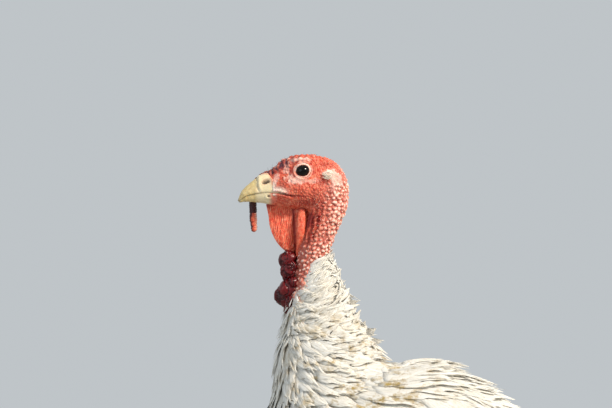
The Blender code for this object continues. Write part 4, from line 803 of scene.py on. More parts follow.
def makeSnood():
    # A tube whose radius swells and shrinks along it, with finer wrinkles that wander round it
    look = snoodLook
    rows = smoothRows(snoodPath, np.linspace(0, len(snoodPath) - 1, look["rows"]))
    path, radius, drop = rows[:, :3], rows[:, 3:], rows[:, 2:3]
    far = np.concatenate([[0], np.cumsum(np.linalg.norm(np.diff(path, axis=0), axis=1))])[:, None]
    base = tubeRings(path, rows[:, 3], look["columns"])
    wander, lump = wallNoise(base, 4.0, 41), wallNoise(base, 2.3, 42)
    wave = np.sin(far / look["wrinkle"] * 2 * np.pi + 2.6 * wander + 0.5 * np.sin(turns(look["columns"])))
    root, swell, hang = ease(drop, -13, -5), ease(radius, 0.4, 2.5), ease(drop, -24, -30)
    radii = np.maximum(radius, 0.3) * (1 + 0.05 * wander) - 0.5 * bell(drop + 41.6, 0.7)
    creases = look["depth"] * wave * (0.7 + 0.2 * root) + (0.25 + 0.8 * root) * lump + 0.22 * wallNoise(base, 1.2, 43)
    aside = (base[..., 0] - path[:, :1]) / np.maximum(radius, 0.3)
    edge = 0.85 * ease(aside + 0.3 * lump, -0.35, -0.75)  # painted shade down its front side
    # where it hangs behind the lower bill it is painted dark as shade down to about 41 mm below the eye, and lit below
    # that; at its root its own dark maroon is darker in the troughs of the wrinkles as painted shade
    dark = strongest(0.95 * ease(drop, -42.0, -41.2), edge) * hang
    dark = dark + (0.68 + 0.3 * ease(wave + 1.6 * lump, 0.6, -1.2)) * (1 - hang)
    # deep is painted shade on its front side and in its low lumps; pale is painted highlight on its rear side near the
    # tip and on the raised lumps of its root
    deep = 0.55 * ease(aside, -0.1, -0.8) * hang + 0.3 * ease(lump, 0.0, -0.8)
    pale = 0.6 * ease(aside, 0.25, 0.8) * ease(drop, -40, -43) + 0.55 * root * ease(lump + 0.3 * wave, 0.35, 0.9)
    tint = tints(pale, np.clip(deep, 0, 1), np.clip(dark * (1 - 0.7 * root * ease(lump, 0.3, 0.8)), 0, 1))
    rings = tubeRings(path, radii + creases * swell, look["columns"])
    addBodies("snood_flesh", [(rings, tint)], wattleSkin, "red_skin", "snood")


makeSnood()

# Dewlap: a thin flap with fine wrinkles down it, and a fold of the throat on each side of its root
dewlapEdge = [(-37.0, -33.0), (-34.6, -44.0), (-33.4, -54.0), (-30.0, -64.0), (-24.5, -73.0), (-16.5, -80.5),
              (-8.5, -85.0)]
dewlapRoot = [(-27.0, -31.0), (-14.0, -34.0), (-2.0, -35.0), (13.0, -39.0), (11.0, -58.0), (5.0, -70.0),
              (0.0, -80.0)]
throatFold = [(-0.5, -27.0), (-1.4, -45.0), (-2.0, -58.0), (-2.8, -71.0), (-5.2, -85.0)]
dewlapLook = {
    "rows": 230, "columns": 150, "thickness": 3.0, "taper": ((0, 0.9), (0.4, 0.5), (0.93, 0.36), (1, 0.10)),
    "wave": 2.5, "wrinkle": 1.9, "foldRows": 120, "foldColumns": 40,
    "foldSpread": ((0, 3.5), (0.15, 5.5), (0.3, 8.6), (0.55, 9.0), (1, 4.6)),
}


def makeDewlap():
    # A sheet root + (edge - root) * t, thinner towards its rim, that waves to both sides by wave * sin(2.6 t) *
    # sin(7.5 part) and is wrinkled along lines that fan down from the jaw
    look = dewlapLook
    t, steps = np.linspace(0, 1, look["columns"]), np.linspace(0, 6, look["rows"])
    edge, root = smoothRows(dewlapEdge, steps)[:, None], smoothRows(dewlapRoot, steps)[:, None]
    x, z = np.moveaxis(root + (edge - root) * t[:, None], -1, 0)
    part = steps[:, None] / 6
    wave = look["wave"] * np.sin(t * 2.6) * np.sin(part * 7.5)
    flat = np.stack([x, 0 * x, z], -1)
    fan = x + 0.28 * (z + 33) * (0.4 - t)
    bend, grain = wallNoise(flat * [1, 1, 0.4], 4.0, 51), wallNoise(flat * [1, 1, 0.35], 1.3, 52)
    wrinkle = np.sin(fan * 2 * np.pi / look["wrinkle"] + 3.4 * bend)
    broad = np.sin(fan * 2 * np.pi / 6.5 + 2.0 * bend)
    groove = bell(x + 8.6 + 0.05 * (z + 60), 1.7)
    half = look["thickness"] * readOff(look["taper"], t) - 1.0 * groove
    half = half + (0.24 * wrinkle + 0.30 * broad + 0.34 * grain) * ease(t, 1.0, 0.9)
    left, right = (np.stack([x, wave + side * half, z], -1) for side in (-1, 1))
    # deep is painted shade: in the troughs of the wrinkles, along its top end under the jaw, in the groove and along
    # the flap's root; pale is painted highlight on the wrinkles' ridges
    deep = strongest(
        0.45 * ease(0.6 * wrinkle + grain, -0.1, -1.2) + 0.7 * ease(part, 0.10, 0.02), 0.95 * groove,
        0.95 * ease(t, 0.22, 0.08) * ease(part, 0.02, 0.2))
    pale = 0.42 * ease(grain + 0.4 * wrinkle, 0.35, 1.0) * ease(wallNoise(flat, 7.0, 53), -0.7, 0.5)
    tint = tints(pale, np.clip(deep, 0, 1))
    rings, tint = np.concatenate([left, right[:, ::-1]], 1), np.concatenate([tint, tint[:, ::-1]], 1)
    addBodies("dewlap_flap", [(rings, tint)], wattleSkin, "red_skin", "dewlap")
    rise = np.linspace(0, 1, look["foldRows"])
    line = smoothRows(throatFold, np.linspace(0, 4, look["foldRows"]))
    radii = 0.8 + 3.4 * np.sin(np.pi * np.clip(rise, 0.02, 0.98)) ** 0.4
    spread = readOff(look["foldSpread"], rise)
    for side, word in bothSides:
        rings = tubeRings(np.stack([line[:, 0], side * spread, line[:, 1]], -1), radii, look["foldColumns"], flat=0.6)
        bumps = wallNoise(rings * [1, 1, 0.3], 1.6, 55)
        rings = rings + unit(rings - rings.mean(1, keepdims=True)) * (0.38 * bumps)[..., None]
        # deep is painted shade in its low bumps and at its top, where it comes out under the jaw; pale is painted
        # highlight on its high bumps
        deep = strongest(0.3 * ease(bumps, -0.1, -0.8), 0.9 * ease(rings[..., 2], -43.0, -35.0))
        addBodies("throat_fold_" + word, [(rings, tints(0.32 * ease(bumps, 0.3, 0.9), deep))], wattleSkin, "red_skin")


makeDewlap()

# Major caruncles: dark, full bulbs at the foot of the bare neck, each lobed and creased. x, y, z and radius; those
# beside the middle are made on both sides
caruncleLook = {"rows": 44, "columns": 60}
caruncleRows = [
    (-14.5, 0.0, -89.0, 9.5), (-14.0, 5.5, -99.0, 8.5), (-14.5, 6.0, -117.0, 9.5), (-18.0, 0.0, -124.0, 11.0),
    (-11.5, 8.0, -129.0, 7.5), (-13.0, 0.0, -107.0, 7.0), (-12.0, 10.0, -95.0, 5.5), (-16.0, 3.5, -82.5, 4.0),
    (-9.5, 12.0, -110.0, 5.0), (-14.0, 4.0, -137.0, 5.5)]


def makeCaruncles():
    # Balls pushed in and out by noise, all in one mesh; they swell into each other
    draw = np.random.default_rng(61)
    rise, turn = np.meshgrid(
        np.linspace(0.03, np.pi - 0.03, caruncleLook["rows"]), turns(caruncleLook["columns"]), indexing="ij")
    ball = np.stack([np.sin(rise) * np.cos(turn), np.sin(rise) * np.sin(turn), np.cos(rise)], -1)
    bodies = []
    for x, y, z, radius in caruncleRows:
        for side in ((-1, 1) if y else (1,)):
            place = ball * radius * [1.0, 0.97, 1.06] + [x, side * y, z]
            noisy = place + draw.uniform(-50, 50)
            lobes, grain = wallNoise(noisy, 6.5, 62), wallNoise(noisy, 1.7, 64)
            crease = np.abs(wallNoise(noisy * [1, 1, 0.6], 4.2, 63))
            place = place + ball * (1.3 * lobes - 1.5 * bell(crease, 0.10) + 0.22 * grain)[..., None]
            # paler on the highest lobes as painted highlight, and deep red in the creases as painted shade
            bodies.append((place, tints(0.22 * ease(lobes + 0.5 * grain, 0.4, 1.3), 0.8 * bell(crease, 0.16))))
    addBodies("major_caruncles", bodies, carunculated, "dark_caruncle", "caruncles")


makeCaruncles()
print("snood, dewlap and caruncles made")

# Coat of the neck: narrow blunt feathers, ruffled, that lie towards the nape and turn to the tail lower down
neckLook = {
    "spacing": (3.3, 6.9), "length": (21.0, 40.0), "halfWidth": (2.9, 6.0), "thickness": 0.42, "ragged": 0.14,
    "ruffle": 1.7, "napeRuffle": 9.5, "tuft": 10.0,
    # station, and how far the feathers turn from the tail towards the nape (degrees)
    "lay": ((7.6, 118), (8.6, 114), (9.5, 106), (10.5, 82), (11.2, 58), (12.0, 30), (13.0, 12)),
}
neckShape = ((0.0, 0.6), (0.25, 1.0), (0.6, 0.95), (0.85, 0.72), (1.0, 0.36))
bodyShape = ((0.0, 0.40), (0.3, 0.88), (0.6, 1.0), (0.85, 0.95), (1.0, 0.6))


def makeNeckCoat():
    look = neckLook

    def apart(s, a):
        # closest where the feathers part, between the front and the sides
        parting = bell(np.abs(a) - 135, 30) * ease(s, 11.5, 10.5)
        return between(look["spacing"], ease(s, 8.0, 12.6)) * (1 - 0.3 * parting)

    spots = scatterOn(bodySurface, (7.5, 13.0), (-180, 180), apart, tries=42000, seed=71)
    # the bare skin ends in a ragged line, a little higher at the sides than at the nape, and lowest in front
    s, angle = spots.T
    edge = 8.28 - 0.2 * ease(np.abs(angle), 40, 90) + 0.35 * ease(np.abs(angle), 100, 130)
    spots = spots[s > edge + 0.10 * np.sin(angle * 0.35) + 0.08 * np.sin(angle * 0.83)]
    spots = spots[np.argsort(-spots[:, 0])]
    s, angle = spots.T
    count, ridge, size, heading = len(s), np.abs(angle), ease(s, 7.6, 12.6), np.sign(angle)
    draw = np.random.default_rng(72)
    back = readOff(look["lay"], s) * ease(ridge / (22 + 48 * ease(s, 9.6, 11.0)), 0.05, 1) * ease(ridge, 179, 98)
    back = back + draw.normal(0, 5.5, count) * (1 + 1.2 * ease(ridge, 110, 140))
    length = between(look["length"], size) * draw.uniform(0.8, 1.2, count)
    length = length * (0.6 + 0.4 * ease(s, 7.6, 8.5)) * (1 - 0.2 * ease(ridge, 120, 150))
    width = between(look["halfWidth"], size) * draw.uniform(0.75, 1.25, count)
    width = width * (1 + 0.15 * bell(ridge - 130, 28) - 0.2 * ease(ridge, 150, 175))
    roll = heading * 18 * ease(ridge, 36, 6) + draw.normal(0, 7, count)
    # beside the nape neighbours rise together, so their tips stand past it in thick tufts; the rest lie close
    row = np.linspace(0, 1, 6)
    clump = wallNoise(bodySurface(s, angle, 0.0) * [1, 0.35, 1], look["tuft"], 74)
    nape = ease(ridge, 85, 50) * ease(s, 11.2, 10.5) * ease(s, 8.5, 9.4)
    stand = look["ruffle"] * draw.uniform(0.3, 1.3, count) * (1 + 1.6 * nape)
    tuft = look["napeRuffle"] * ease(clump, 0.0, 0.6) * nape
    sink = 3.6 * ease(ridge, 85, 40) * ease(s, 12.0, 11.2) * ease(s, 8.8, 10.2) - 2.6 * ease(s, 9.8, 8.6)
    onCape = cape(np.minimum(s[:, None] + 0.5 * row, np.maximum(s, 12.2)[:, None]), angle[:, None])
    lift = -5.0 - sink[:, None] + onCape + 6.2 * row**0.7 + stand[:, None] * row**1.4 + tuft[:, None] * row
    points, vane = coat(
        bodySurface, spots, -heading * back, length, width, lift, draw, neckShape, -heading * draw.normal(4, 8, count),
        cup=draw.uniform(0.05, 0.24, count), ragged=look["ragged"], thickness=look["thickness"], point=0.22, roll=roll)
    for word, part in (("low", slice(count // 2)), ("high", slice(count // 2, None))):
        addFeathers("neck_coat_" + word, (points[part], vane[part]), neckFeather, unwrap(spots[part]))
    return count


print("neck feathers:", makeNeckCoat())

# Coat of the body: broad rounded feathers laid towards the tail, looser under the vent
bodyLook = {
    "spacing": (7.4, 12.5), "length": (40.0, 62.0), "halfWidth": (7.6, 14.5), "thickness": 0.45, "ragged": 0.06,
    "lay": ((12, 52), (12.8, 38), (13.3, 18), (14.2, 0)),  # as on the neck
}
# The folded wing's outline: station, upper and lower angle
wingEdges = np.array([
    (12.85, 69.0, 84.0), (13.15, 55.0, 100.0), (13.7, 48.0, 111.0), (14.6, 42.0, 117.0), (15.5, 38.0, 117.0),
    (16.4, 35.0, 112.0), (17.3, 33.0, 105.0), (18.2, 32.0, 96.0), (19.0, 34.0, 84.0)])
# Name, first and last angle, tries, seed, looseness
bodyCoats = (("coat_back", (-78, 78), 26000, 81, 0.7), ("coat_breast_left", (78, 180), 22000, 83, 0.8),
             ("coat_breast_right", (-180, -78), 22000, 85, 0.8))


def makeBodyCoat(name, aRange, tries, seed, looseness):
    look = bodyLook

    def apart(s, a):
        # none where the folded wings cover the body, or the tail coverts the rump
        ridge = np.abs(a)
        high, low = readOff(wingEdges[:, :2], s) + 9, readOff(wingEdges[:, ::2], s) - 9
        covered = (ridge > high) & (ridge < low) & (s > 13.3) & (s < 18.7) | (s > 18.7 + 0.8 * ease(ridge, 70, 150))
        return np.where(covered, -1.0, between(look["spacing"], ease(s, 12.0, 15.0)))

    spots = scatterOn(bodySurface, (12.3, 20.2), aRange, apart, tries, seed)
    draw = np.random.default_rng(seed + 1)
    s, angle = spots.T
    count, ridge, size, row = len(s), np.abs(angle), ease(s, 12.0, 15.0), np.linspace(0, 1, 5)
    turn = -np.sign(angle) * readOff(look["lay"], s) * ease(ridge, 4, 40)
    turn = turn * ease(ridge, 176, 130) + draw.normal(0, 6 * looseness, count)
    length = between(look["length"], size) * draw.uniform(0.85, 1.15, count) * (1 - 0.35 * ease(s, 18.3, 20))
    width = between(look["halfWidth"], size) * draw.uniform(0.85, 1.15, count)
    puff = draw.uniform(0.2, 1.0, count) * 3.0 * looseness
    raised = cape(s, angle)[:, None] * (1 - 0.15 * row)  # the tips of the plumes stay up
    lift = -6.0 + raised + 6.5 * row**0.7 + puff[:, None] * row**1.8
    grid = coat(
        bodySurface, spots, turn, length, width, lift, draw, bodyShape, draw.normal(0, 5 * looseness, count),
        cup=draw.uniform(0.06, 0.22, count), ragged=look["ragged"] * looseness, thickness=look["thickness"], point=0.24)
    addFeathers(name, grid, bodyFeather, unwrap(spots))
    return count


print("body feathers:", *(makeBodyCoat(*row) for row in bodyCoats))

# Wings: coverts in rows over long flight feathers, folded against the body, each row over the one behind it. Each
# row: how many, root and tip of the uppermost, root and tip of the lowest, height above the body, points along each
wingLook = {
    "flesh": (3.0, 13.5, 15.0, 13.0, 9.5, 6.0, 5.0, 4.5, 4.0),  # height of the wing above the body along it
    "primaries": (10, (0.42, 0.38), (0.985, 0.30), (0.42, 0.93), (0.87, 0.88), 2.5, 26),
    "secondaries": (15, (0.25, 0.04), (0.87, 0.06), (0.25, 0.93), (0.71, 0.95), 6.4, 26),
    "greater_coverts": (14, (0.11, 0.04), (0.49, 0.04), (0.11, 0.95), (0.42, 0.97), 10.4, 16),
    "median_coverts": (13, (0.05, 0.08), (0.30, 0.05), (0.05, 0.92), (0.25, 0.96), 13.6, 12),
}
flightShape = ((0.0, 0.45), (0.12, 0.8), (0.4, 1.0), (0.75, 1.0), (0.92, 0.86), (1.0, 0.42))
covertShape = ((0.0, 0.5), (0.35, 0.95), (0.75, 1.0), (0.92, 0.8), (1.0, 0.4))


def wingBody(a, b, lift=0.0):
    # The body's surface, from the wing's shoulder to its tip by a and from its upper to its lower edge by b:
    # bodySurface(station(a), upper(a) + (lower(a) - upper(a)) * b)
    a, b, lift = asArrays(a, b, lift)
    rows = smoothRows(wingEdges, a * (len(wingEdges) - 1))
    return bodySurface(rows[..., 0], between((rows[..., 1], rows[..., 2]), b), lift)


def wingSurface(a, b, lift=0.0):
    # The same raised by the wing's flesh, flesh(a) * sin(pi * b)^0.45, highest along its middle
    flesh = smoothRows(np.array(wingLook["flesh"])[:, None], np.clip(a, 0, 1) * 8)[..., 0]
    return wingBody(a, b, lift + flesh * np.sin(np.pi * np.clip(b, 0.03, 0.97)) ** 0.45)


def makeWing(side, word):
    draw = np.random.default_rng(91)
    a, b = np.meshgrid(np.linspace(0.03, 0.93, 60), np.linspace(0.01, 0.99, 30), indexing="ij")
    over, under = wingSurface(a, b, -2.0 - 6.5 * ease(a, 0.08, 0.30)), wingBody(a, b, -9.0)  # below the coverts' roots
    addFlesh("wing_flesh_" + word, np.concatenate([over, under[:, ::-1]], 1) * [1, -side, 1], "wing_" + word)
    for title in ("primaries", "secondaries", "greater_coverts", "median_coverts"):
        count, topRoot, topTip, lowRoot, lowTip, height, rows = wingLook[title]
        part = np.linspace(0, 1, count)[:, None, None]
        root = between(np.array([topRoot, lowRoot]), part)
        tip = between(np.array([topTip, lowTip]), part) + [0.035, 0] * np.sin(np.pi * part)
        tip = tip + draw.normal(0, 0.006, (count, 1, 2))
        step = np.linspace(0, 1, rows)
        a, b = np.moveaxis(between((root, tip), step[:, None]), -1, 0)
        lift = (0.74 + 0.26 * np.sin(np.pi * np.clip(b, 0, 1)) ** 0.6) * height * (0.55 + 0.45 * ease(step, 0, 0.5))
        lift = lift + draw.uniform(-0.4, 0.4, (count, 1)) * step
        path, normals = lieOn(wingBody, a, b, lift)
        along, apart = unit(np.gradient(path, axis=1)), np.gradient(path, axis=0)
        spacing = np.linalg.norm(apart - along * (apart * along).sum(-1, keepdims=True), axis=-1)
        widths = np.clip(spacing * 0.92, 5, 26) * readOff(flightShape if rows > 20 else covertShape, step)
        normals = unit(normals + np.cross(along, normals) * (2.0 / np.clip(spacing, 6, 60))[..., None])
        grid = vaneGrid(path, normals, widths, columns=9, cup=0.16, ragged=0.012, thickness=0.5, draw=draw, point=0.10)
        addFeathers(title + "_" + word, grid, flightFeather, root[:, 0] * 0.9 + 0.05, side)
    spots = np.concatenate([scatterOn(wingSurface, (-0.02, 0.27), (0.03, 0.97), 8.0, tries=5000, seed=93),
                            scatterOn(wingSurface, (-0.03, 0.60), (-0.06, 0.05), 10.0, tries=1500, seed=94)])
    count, row = len(spots), np.linspace(0, 1, 6)
    lift = -2.5 + 4.5 * row**0.7 + draw.uniform(0.5, 2.4, (count, 1)) * row**2
    fan = (draw.normal(0, 7, count) + 22 * (spots[:, 1] - 0.45)) * ease(spots[:, 0], -0.03, 0.14)
    length, width = draw.uniform(28, 40, count), draw.uniform(8.0, 11.0, count)
    grid = coat(wingSurface, spots, fan, length, width, lift, draw, bodyShape, stepB=0.01, cup=0.22, ragged=0.03,
                thickness=0.45, point=0.22)
    addFeathers("lesser_coverts_" + word, grid, bodyFeather, unwrap(spots, (-0.1, 0.9), (-0.1, 1.1)), side)
    # scapulars: long feathers of the shoulder that lie over the wing's upper edge
    spots = scatterOn(bodySurface, (12.7, 16.6), (24, 47), 10.5, tries=3500, seed=95)
    spots = spots[np.argsort(-spots[:, 0])]
    count, size, row = len(spots), ease(spots[:, 0], 12.6, 14.6), np.linspace(0, 1, 8)
    lift = -4.0 + (7.5 + 3.5 * size[:, None]) * row**0.6 * (1 - 0.3 * row) + draw.uniform(0, 1.6, (count, 1)) * row
    lift = lift + cape(spots[:, :1], spots[:, 1:]) * (1 - 0.15 * row)
    fan = 9 + draw.normal(0, 5, count)
    length, width = (52 + 38 * size) * draw.uniform(0.85, 1.15, count), (8 + 4 * size) * draw.uniform(0.85, 1.1, count)
    grid = coat(bodySurface, spots, fan, length, width, lift, draw, bodyShape, cup=0.2, ragged=0.03, thickness=0.5,
                point=0.26)
    addFeathers("scapulars_" + word, grid, bodyFeather, unwrap(spots), side)


for side, word in bothSides:
    makeWing(side, word)
print("wings made")

# Tail: nine pairs of long square-ended feathers, folded into a narrow fan, with coverts over and under its root
tailLook = {
    "root": (468.0, 0.0, -418.0), "length": 352.0, "drop": math.radians(37.0), "sag": 12.0, "pairs": 9,
    "halfWidth": 25.0, "spacing": (2.0, 7.2), "step": 1.25, "top": 6.0, "points": 30, "flesh": (24, 36),
    "rootHigh": ((-0.16, 20.0), (0.0, 17.0), (0.15, 13.5), (0.3, 10.5), (0.55, 9.0)),
    "rootWide": ((-0.16, 33.0), (0.0, 33.0), (0.3, 37.0), (0.55, 44.0)),
}
tailShape = ((0, 0.3), (0.1, 0.55), (0.35, 0.88), (0.8, 1.0), (0.94, 0.86), (1, 0.5))
tailUp = np.array([math.sin(tailLook["drop"]), 0, math.cos(tailLook["drop"])])
rightward = np.array([0, 1.0, 0])


def tailSurface(part, side, rise=0.0):
    # A straight line from the rump, dropping at an angle and sagging with the square of the way along it:
    # root + along * length * part + up * (rise - sag * part^2) + side
    part, side, rise = asArrays(part, side, rise)
    along = np.array([math.cos(tailLook["drop"]), 0, -math.sin(tailLook["drop"])])
    line = tailLook["root"] + along * (tailLook["length"] * part)[..., None]
    height = rise - tailLook["sag"] * np.clip(part, 0, 2) ** 2
    return line + tailUp * height[..., None] + rightward * side[..., None]


def tailRoot(part, angle, lift=0.0):
    # The rump drawn out over the tail: ellipses, wide * sin(angle) across and high * cos(angle) up, that flatten on
    # to the fan
    part, angle, lift = asArrays(part, angle, lift)
    turn = np.radians(angle)
    high, wide = readOff(tailLook["rootHigh"], part) + lift, readOff(tailLook["rootWide"], part) + lift
    return tailSurface(part, -wide * np.sin(turn), high * np.cos(turn))


def makeTail():
    look = tailLook
    draw = np.random.default_rng(101)
    rows, columns = look["flesh"]
    turn, part = turns(columns)[:, None], np.linspace(-0.13, 0.24, rows)
    flat = ((part + 0.13) / 0.37)[:, None, None]
    rings = tailSurface(part, 0.0)[:, None] + np.cos(turn) * tailUp * (19 * (1 - 0.9 * flat**1.5))
    addFlesh("tail_flesh", rings + np.sin(turn) * (32 * (1 - 0.25 * flat)) * rightward, "tail")
    step, number = np.linspace(0, 1, look["points"]), np.arange(look["pairs"])[:, None]
    grids = []
    for side, _ in bothSides:
        parts = -0.02 + (1.02 - 0.005 * number) * step + draw.normal(0, 0.004, (look["pairs"], 1)) * step
        fall = look["step"] * (number + 0.5 * (side < 0))
        path = tailSurface(parts, side * between(look["spacing"], parts) * (number + 0.35), look["top"] - fall)
        roll = (math.radians(1.5) * number * side)[..., None]
        normals = tailUp * np.cos(roll) + rightward * np.sin(roll)
        widths = look["halfWidth"] * readOff(tailShape, step)
        grids.append(vaneGrid(path, normals, widths, columns=9, cup=0.10, ragged=0.010, thickness=0.55, draw=draw,
                              point=0.05))
    roots = np.stack([np.linspace(0.3, 0.7, 2 * look["pairs"]), np.full(2 * look["pairs"], 0.5)], -1)
    addFeathers("tail_feathers", [np.concatenate(both) for both in zip(*grids)], flightFeather, roots)
    spots = scatterOn(
        tailRoot, (-0.15, 0.33), (-180, 180), lambda a, b: 8.5 + 9.0 * ease(a, 0.0, 0.33), tries=6000, seed=103)
    spots = spots[np.argsort(-spots[:, 0])]
    count, row, long = len(spots), np.linspace(0, 1, 8), ease(spots[:, 0], -0.1, 0.28)
    lift = -2.5 + 4.0 * row**0.7 + draw.uniform(0.3, 1.0, (count, 1)) * (1.0 + 1.5 * long[:, None]) * row**2
    fan, length = draw.normal(0, 4, count), (42 + 34 * long) * draw.uniform(0.85, 1.12, count)
    width = (9.0 + 3.5 * long) * draw.uniform(0.85, 1.15, count)
    grid = coat(tailRoot, spots, fan, length, width, lift, draw, bodyShape, cup=0.14, ragged=0.03, thickness=0.5,
                point=0.2)
    addFeathers("tail_coverts", grid, bodyFeather, unwrap(spots, (-0.2, 0.6)))


makeTail()
print("tail made")

# Legs: feathered drumsticks, shanks with a row of scutes in front and small scales behind, four toes. The thigh's
# rows are x, z and radius; a toe's are its length, heading (degrees) and how many plates it has
legLook = {
    "thigh": ((145.0, -440.0, 62.0), (178.0, -500.0, 57.0), (208.0, -556.0, 43.0), (228.0, -600.0, 28.0),
              (240.0, -642.0, 14.5)),
    "spread": (84.0, 74.0), "flat": 0.86, "hock": (243.0, -74.0, -648.0), "ankle": (205.0, -74.0, -821.0),
    "ball": (202.0, -74.0, -830.6), "pad": (13.5, 11.5, 13.0), "shank": 8.6, "shankFlat": 0.82, "scutes": 17,
    "toes": {"inner": (58.0, 30.0, 5), "middle": (84.0, 0.0, 8), "outer": (62.0, -33.0, 6), "hind": (30.0, 172.0, 3)},
    "toe": 7.2, "claw": (17.0, 3.8), "spur": 16.5,
    "grids": {
        "thigh": (40, 48), "shank": (220, 72), "spur": (20, 20), "pad": (40, 60), "toe": (90, 44), "claw": (36, 24)},
}


def thighSurface(a, b, lift=0.0):
    # Circles along the drumstick from inside the body to the hock, flattened from side to side:
    # centre(a) + front(a) * radius * cos(b) + across * flat * radius * sin(b)
    a, b, lift = asArrays(a, b, lift)
    rows = smoothRows(legLook["thigh"], a)
    slope = smoothRows(legLook["thigh"], a + 0.02) - smoothRows(legLook["thigh"], a - 0.02)
    along = unit(np.stack([slope[..., 0], 0 * a, slope[..., 1]], -1))
    front = np.stack([along[..., 2], 0 * a, -along[..., 0]], -1)
    turn, radius = np.radians(b), rows[..., 2] + lift
    centre = np.stack([rows[..., 0], -between(legLook["spread"], a / 4), rows[..., 1]], -1)
    sideways = rightward * (radius * legLook["flat"] * np.sin(turn))[..., None]
    return centre + front * (radius * np.cos(turn))[..., None] + sideways


def makeThigh(side, word):
    draw = np.random.default_rng(111)
    rows, columns = legLook["grids"]["thigh"]
    a, b = np.meshgrid(np.linspace(0.15, 4.0, rows), np.arange(columns) * 360 / columns, indexing="ij")
    addFlesh("thigh_flesh_" + word, thighSurface(a, b, -3.5 * (1 - a / 4.6)) * [1, -side, 1], "thigh_" + word)
    spots = scatterOn(thighSurface, (0.35, 3.9), (-180, 180), lambda a, b: 8.8 - 0.8 * a, tries=9000, seed=112)
    count, row, taper = len(spots), np.linspace(0, 1, 5), 1 - 0.13 * spots[:, 0]
    lift = (-4.5 + 5.5 * row**0.7) * taper[:, None] + draw.uniform(0.2, 1.0, (count, 1)) * 2.6 * row**2
    length = np.minimum(38 * taper * draw.uniform(0.8, 1.15, count), 12 + 55 * (4.15 - spots[:, 0]))
    turn, width = draw.normal(0, 7, count), 8.2 * taper * draw.uniform(0.85, 1.15, count)
    grid = coat(thighSurface, spots, turn, length, width, lift, draw, bodyShape, cup=0.25, ragged=0.06, thickness=0.4)
    addFeathers("thigh_coat_" + word, grid, bodyFeather, unwrap(spots, (0, 4.2)), side)


def scaleRelief(points, spacing, height, seed):
    # Small round scales: domes on points scattered evenly through the skin's own depth, and how far the nearest is
    cell = points / spacing
    low, away = np.floor(cell), 9.0
    for corner in np.ndindex(3, 3, 3):
        at = low + np.array(corner) - 1
        code = np.abs(np.sin(at @ np.array([12.9898, 78.233, 37.719]) + seed) * 43758.5453)
        shift = np.stack([code % 1, (code * 7.13) % 1, (code * 13.7) % 1], -1)
        away = np.minimum(away, np.linalg.norm(at + 0.25 + 0.5 * shift - cell, axis=-1))
    return height * np.clip(1 - away**2 * 1.4, 0, 1), away


def plates(number):
    # How far a point is from the middle of its plate, 0 to 1, and how far it is along it
    part = number - np.floor(number)
    return np.abs(part - 0.5) * 2, part


def makeShank(side, word):
    # A tube, (cos(turn), flat * sin(turn)) * radius, thicker at both joints, plated in front
    look = legLook
    rows, columns = look["grids"]["shank"]
    t, turn = np.linspace(-0.02, 1.02, rows)[:, None], turns(columns)
    top, bottom = np.array(look["hock"]), np.array(look["ankle"])
    x, y, z = np.moveaxis(between((top, bottom), t)[:, None], -1, 0)

    def around(reach):
        return np.stack(asArrays(x + np.cos(turn) * reach, y + np.sin(turn) * reach * look["shankFlat"], z), -1)

    radius = look["shank"] + 3.9 * bell(t, 0.09) + 2.2 * bell(1 - t, 0.08)
    cut, part = plates(t * look["scutes"] + 0.10 * np.sin(turn * 2))
    dome, away = scaleRelief(around(radius), 3.1, 0.55, 3.0)
    front = np.clip(-np.cos(turn), 0, 1)
    isFront = ease(front, 0.28, 0.42)
    relief = ((1 - cut**6) * 0.9 - 0.25 * part) * isFront + dome * (1 - isFront) - 0.5 * bell(front - 0.34, 0.05)
    tint = tints(np.where(isFront > 0.5, ease(cut, 0.82, 1.0), ease(away, 0.42, 0.7)), isFront)
    rings = around(radius + relief) * [1, -side, 1]
    addBodies("shank_scales_" + word, [(rings, tint)], legSkin, "leg_scales", "shank_" + word)
    # the spur, behind and inside
    root = between((bottom, top), 0.34) + [5.0, 5.0, 0]
    rows, columns = look["grids"]["spur"]
    step = np.linspace(0, 1, rows)[:, None]
    path = root + np.array([0.75, 0.62, -0.1]) * look["spur"] * step + np.array([0, 0, 2.0]) * step**2
    rings = tubeRings(path, 5.2 * np.sqrt(np.clip(1 - step**1.5, 0.004, 1)), columns) * [1, -side, 1]
    addBodies("spur_" + word, [(rings, tints(0.1, 0.3))], legHorn, "leg_scales")


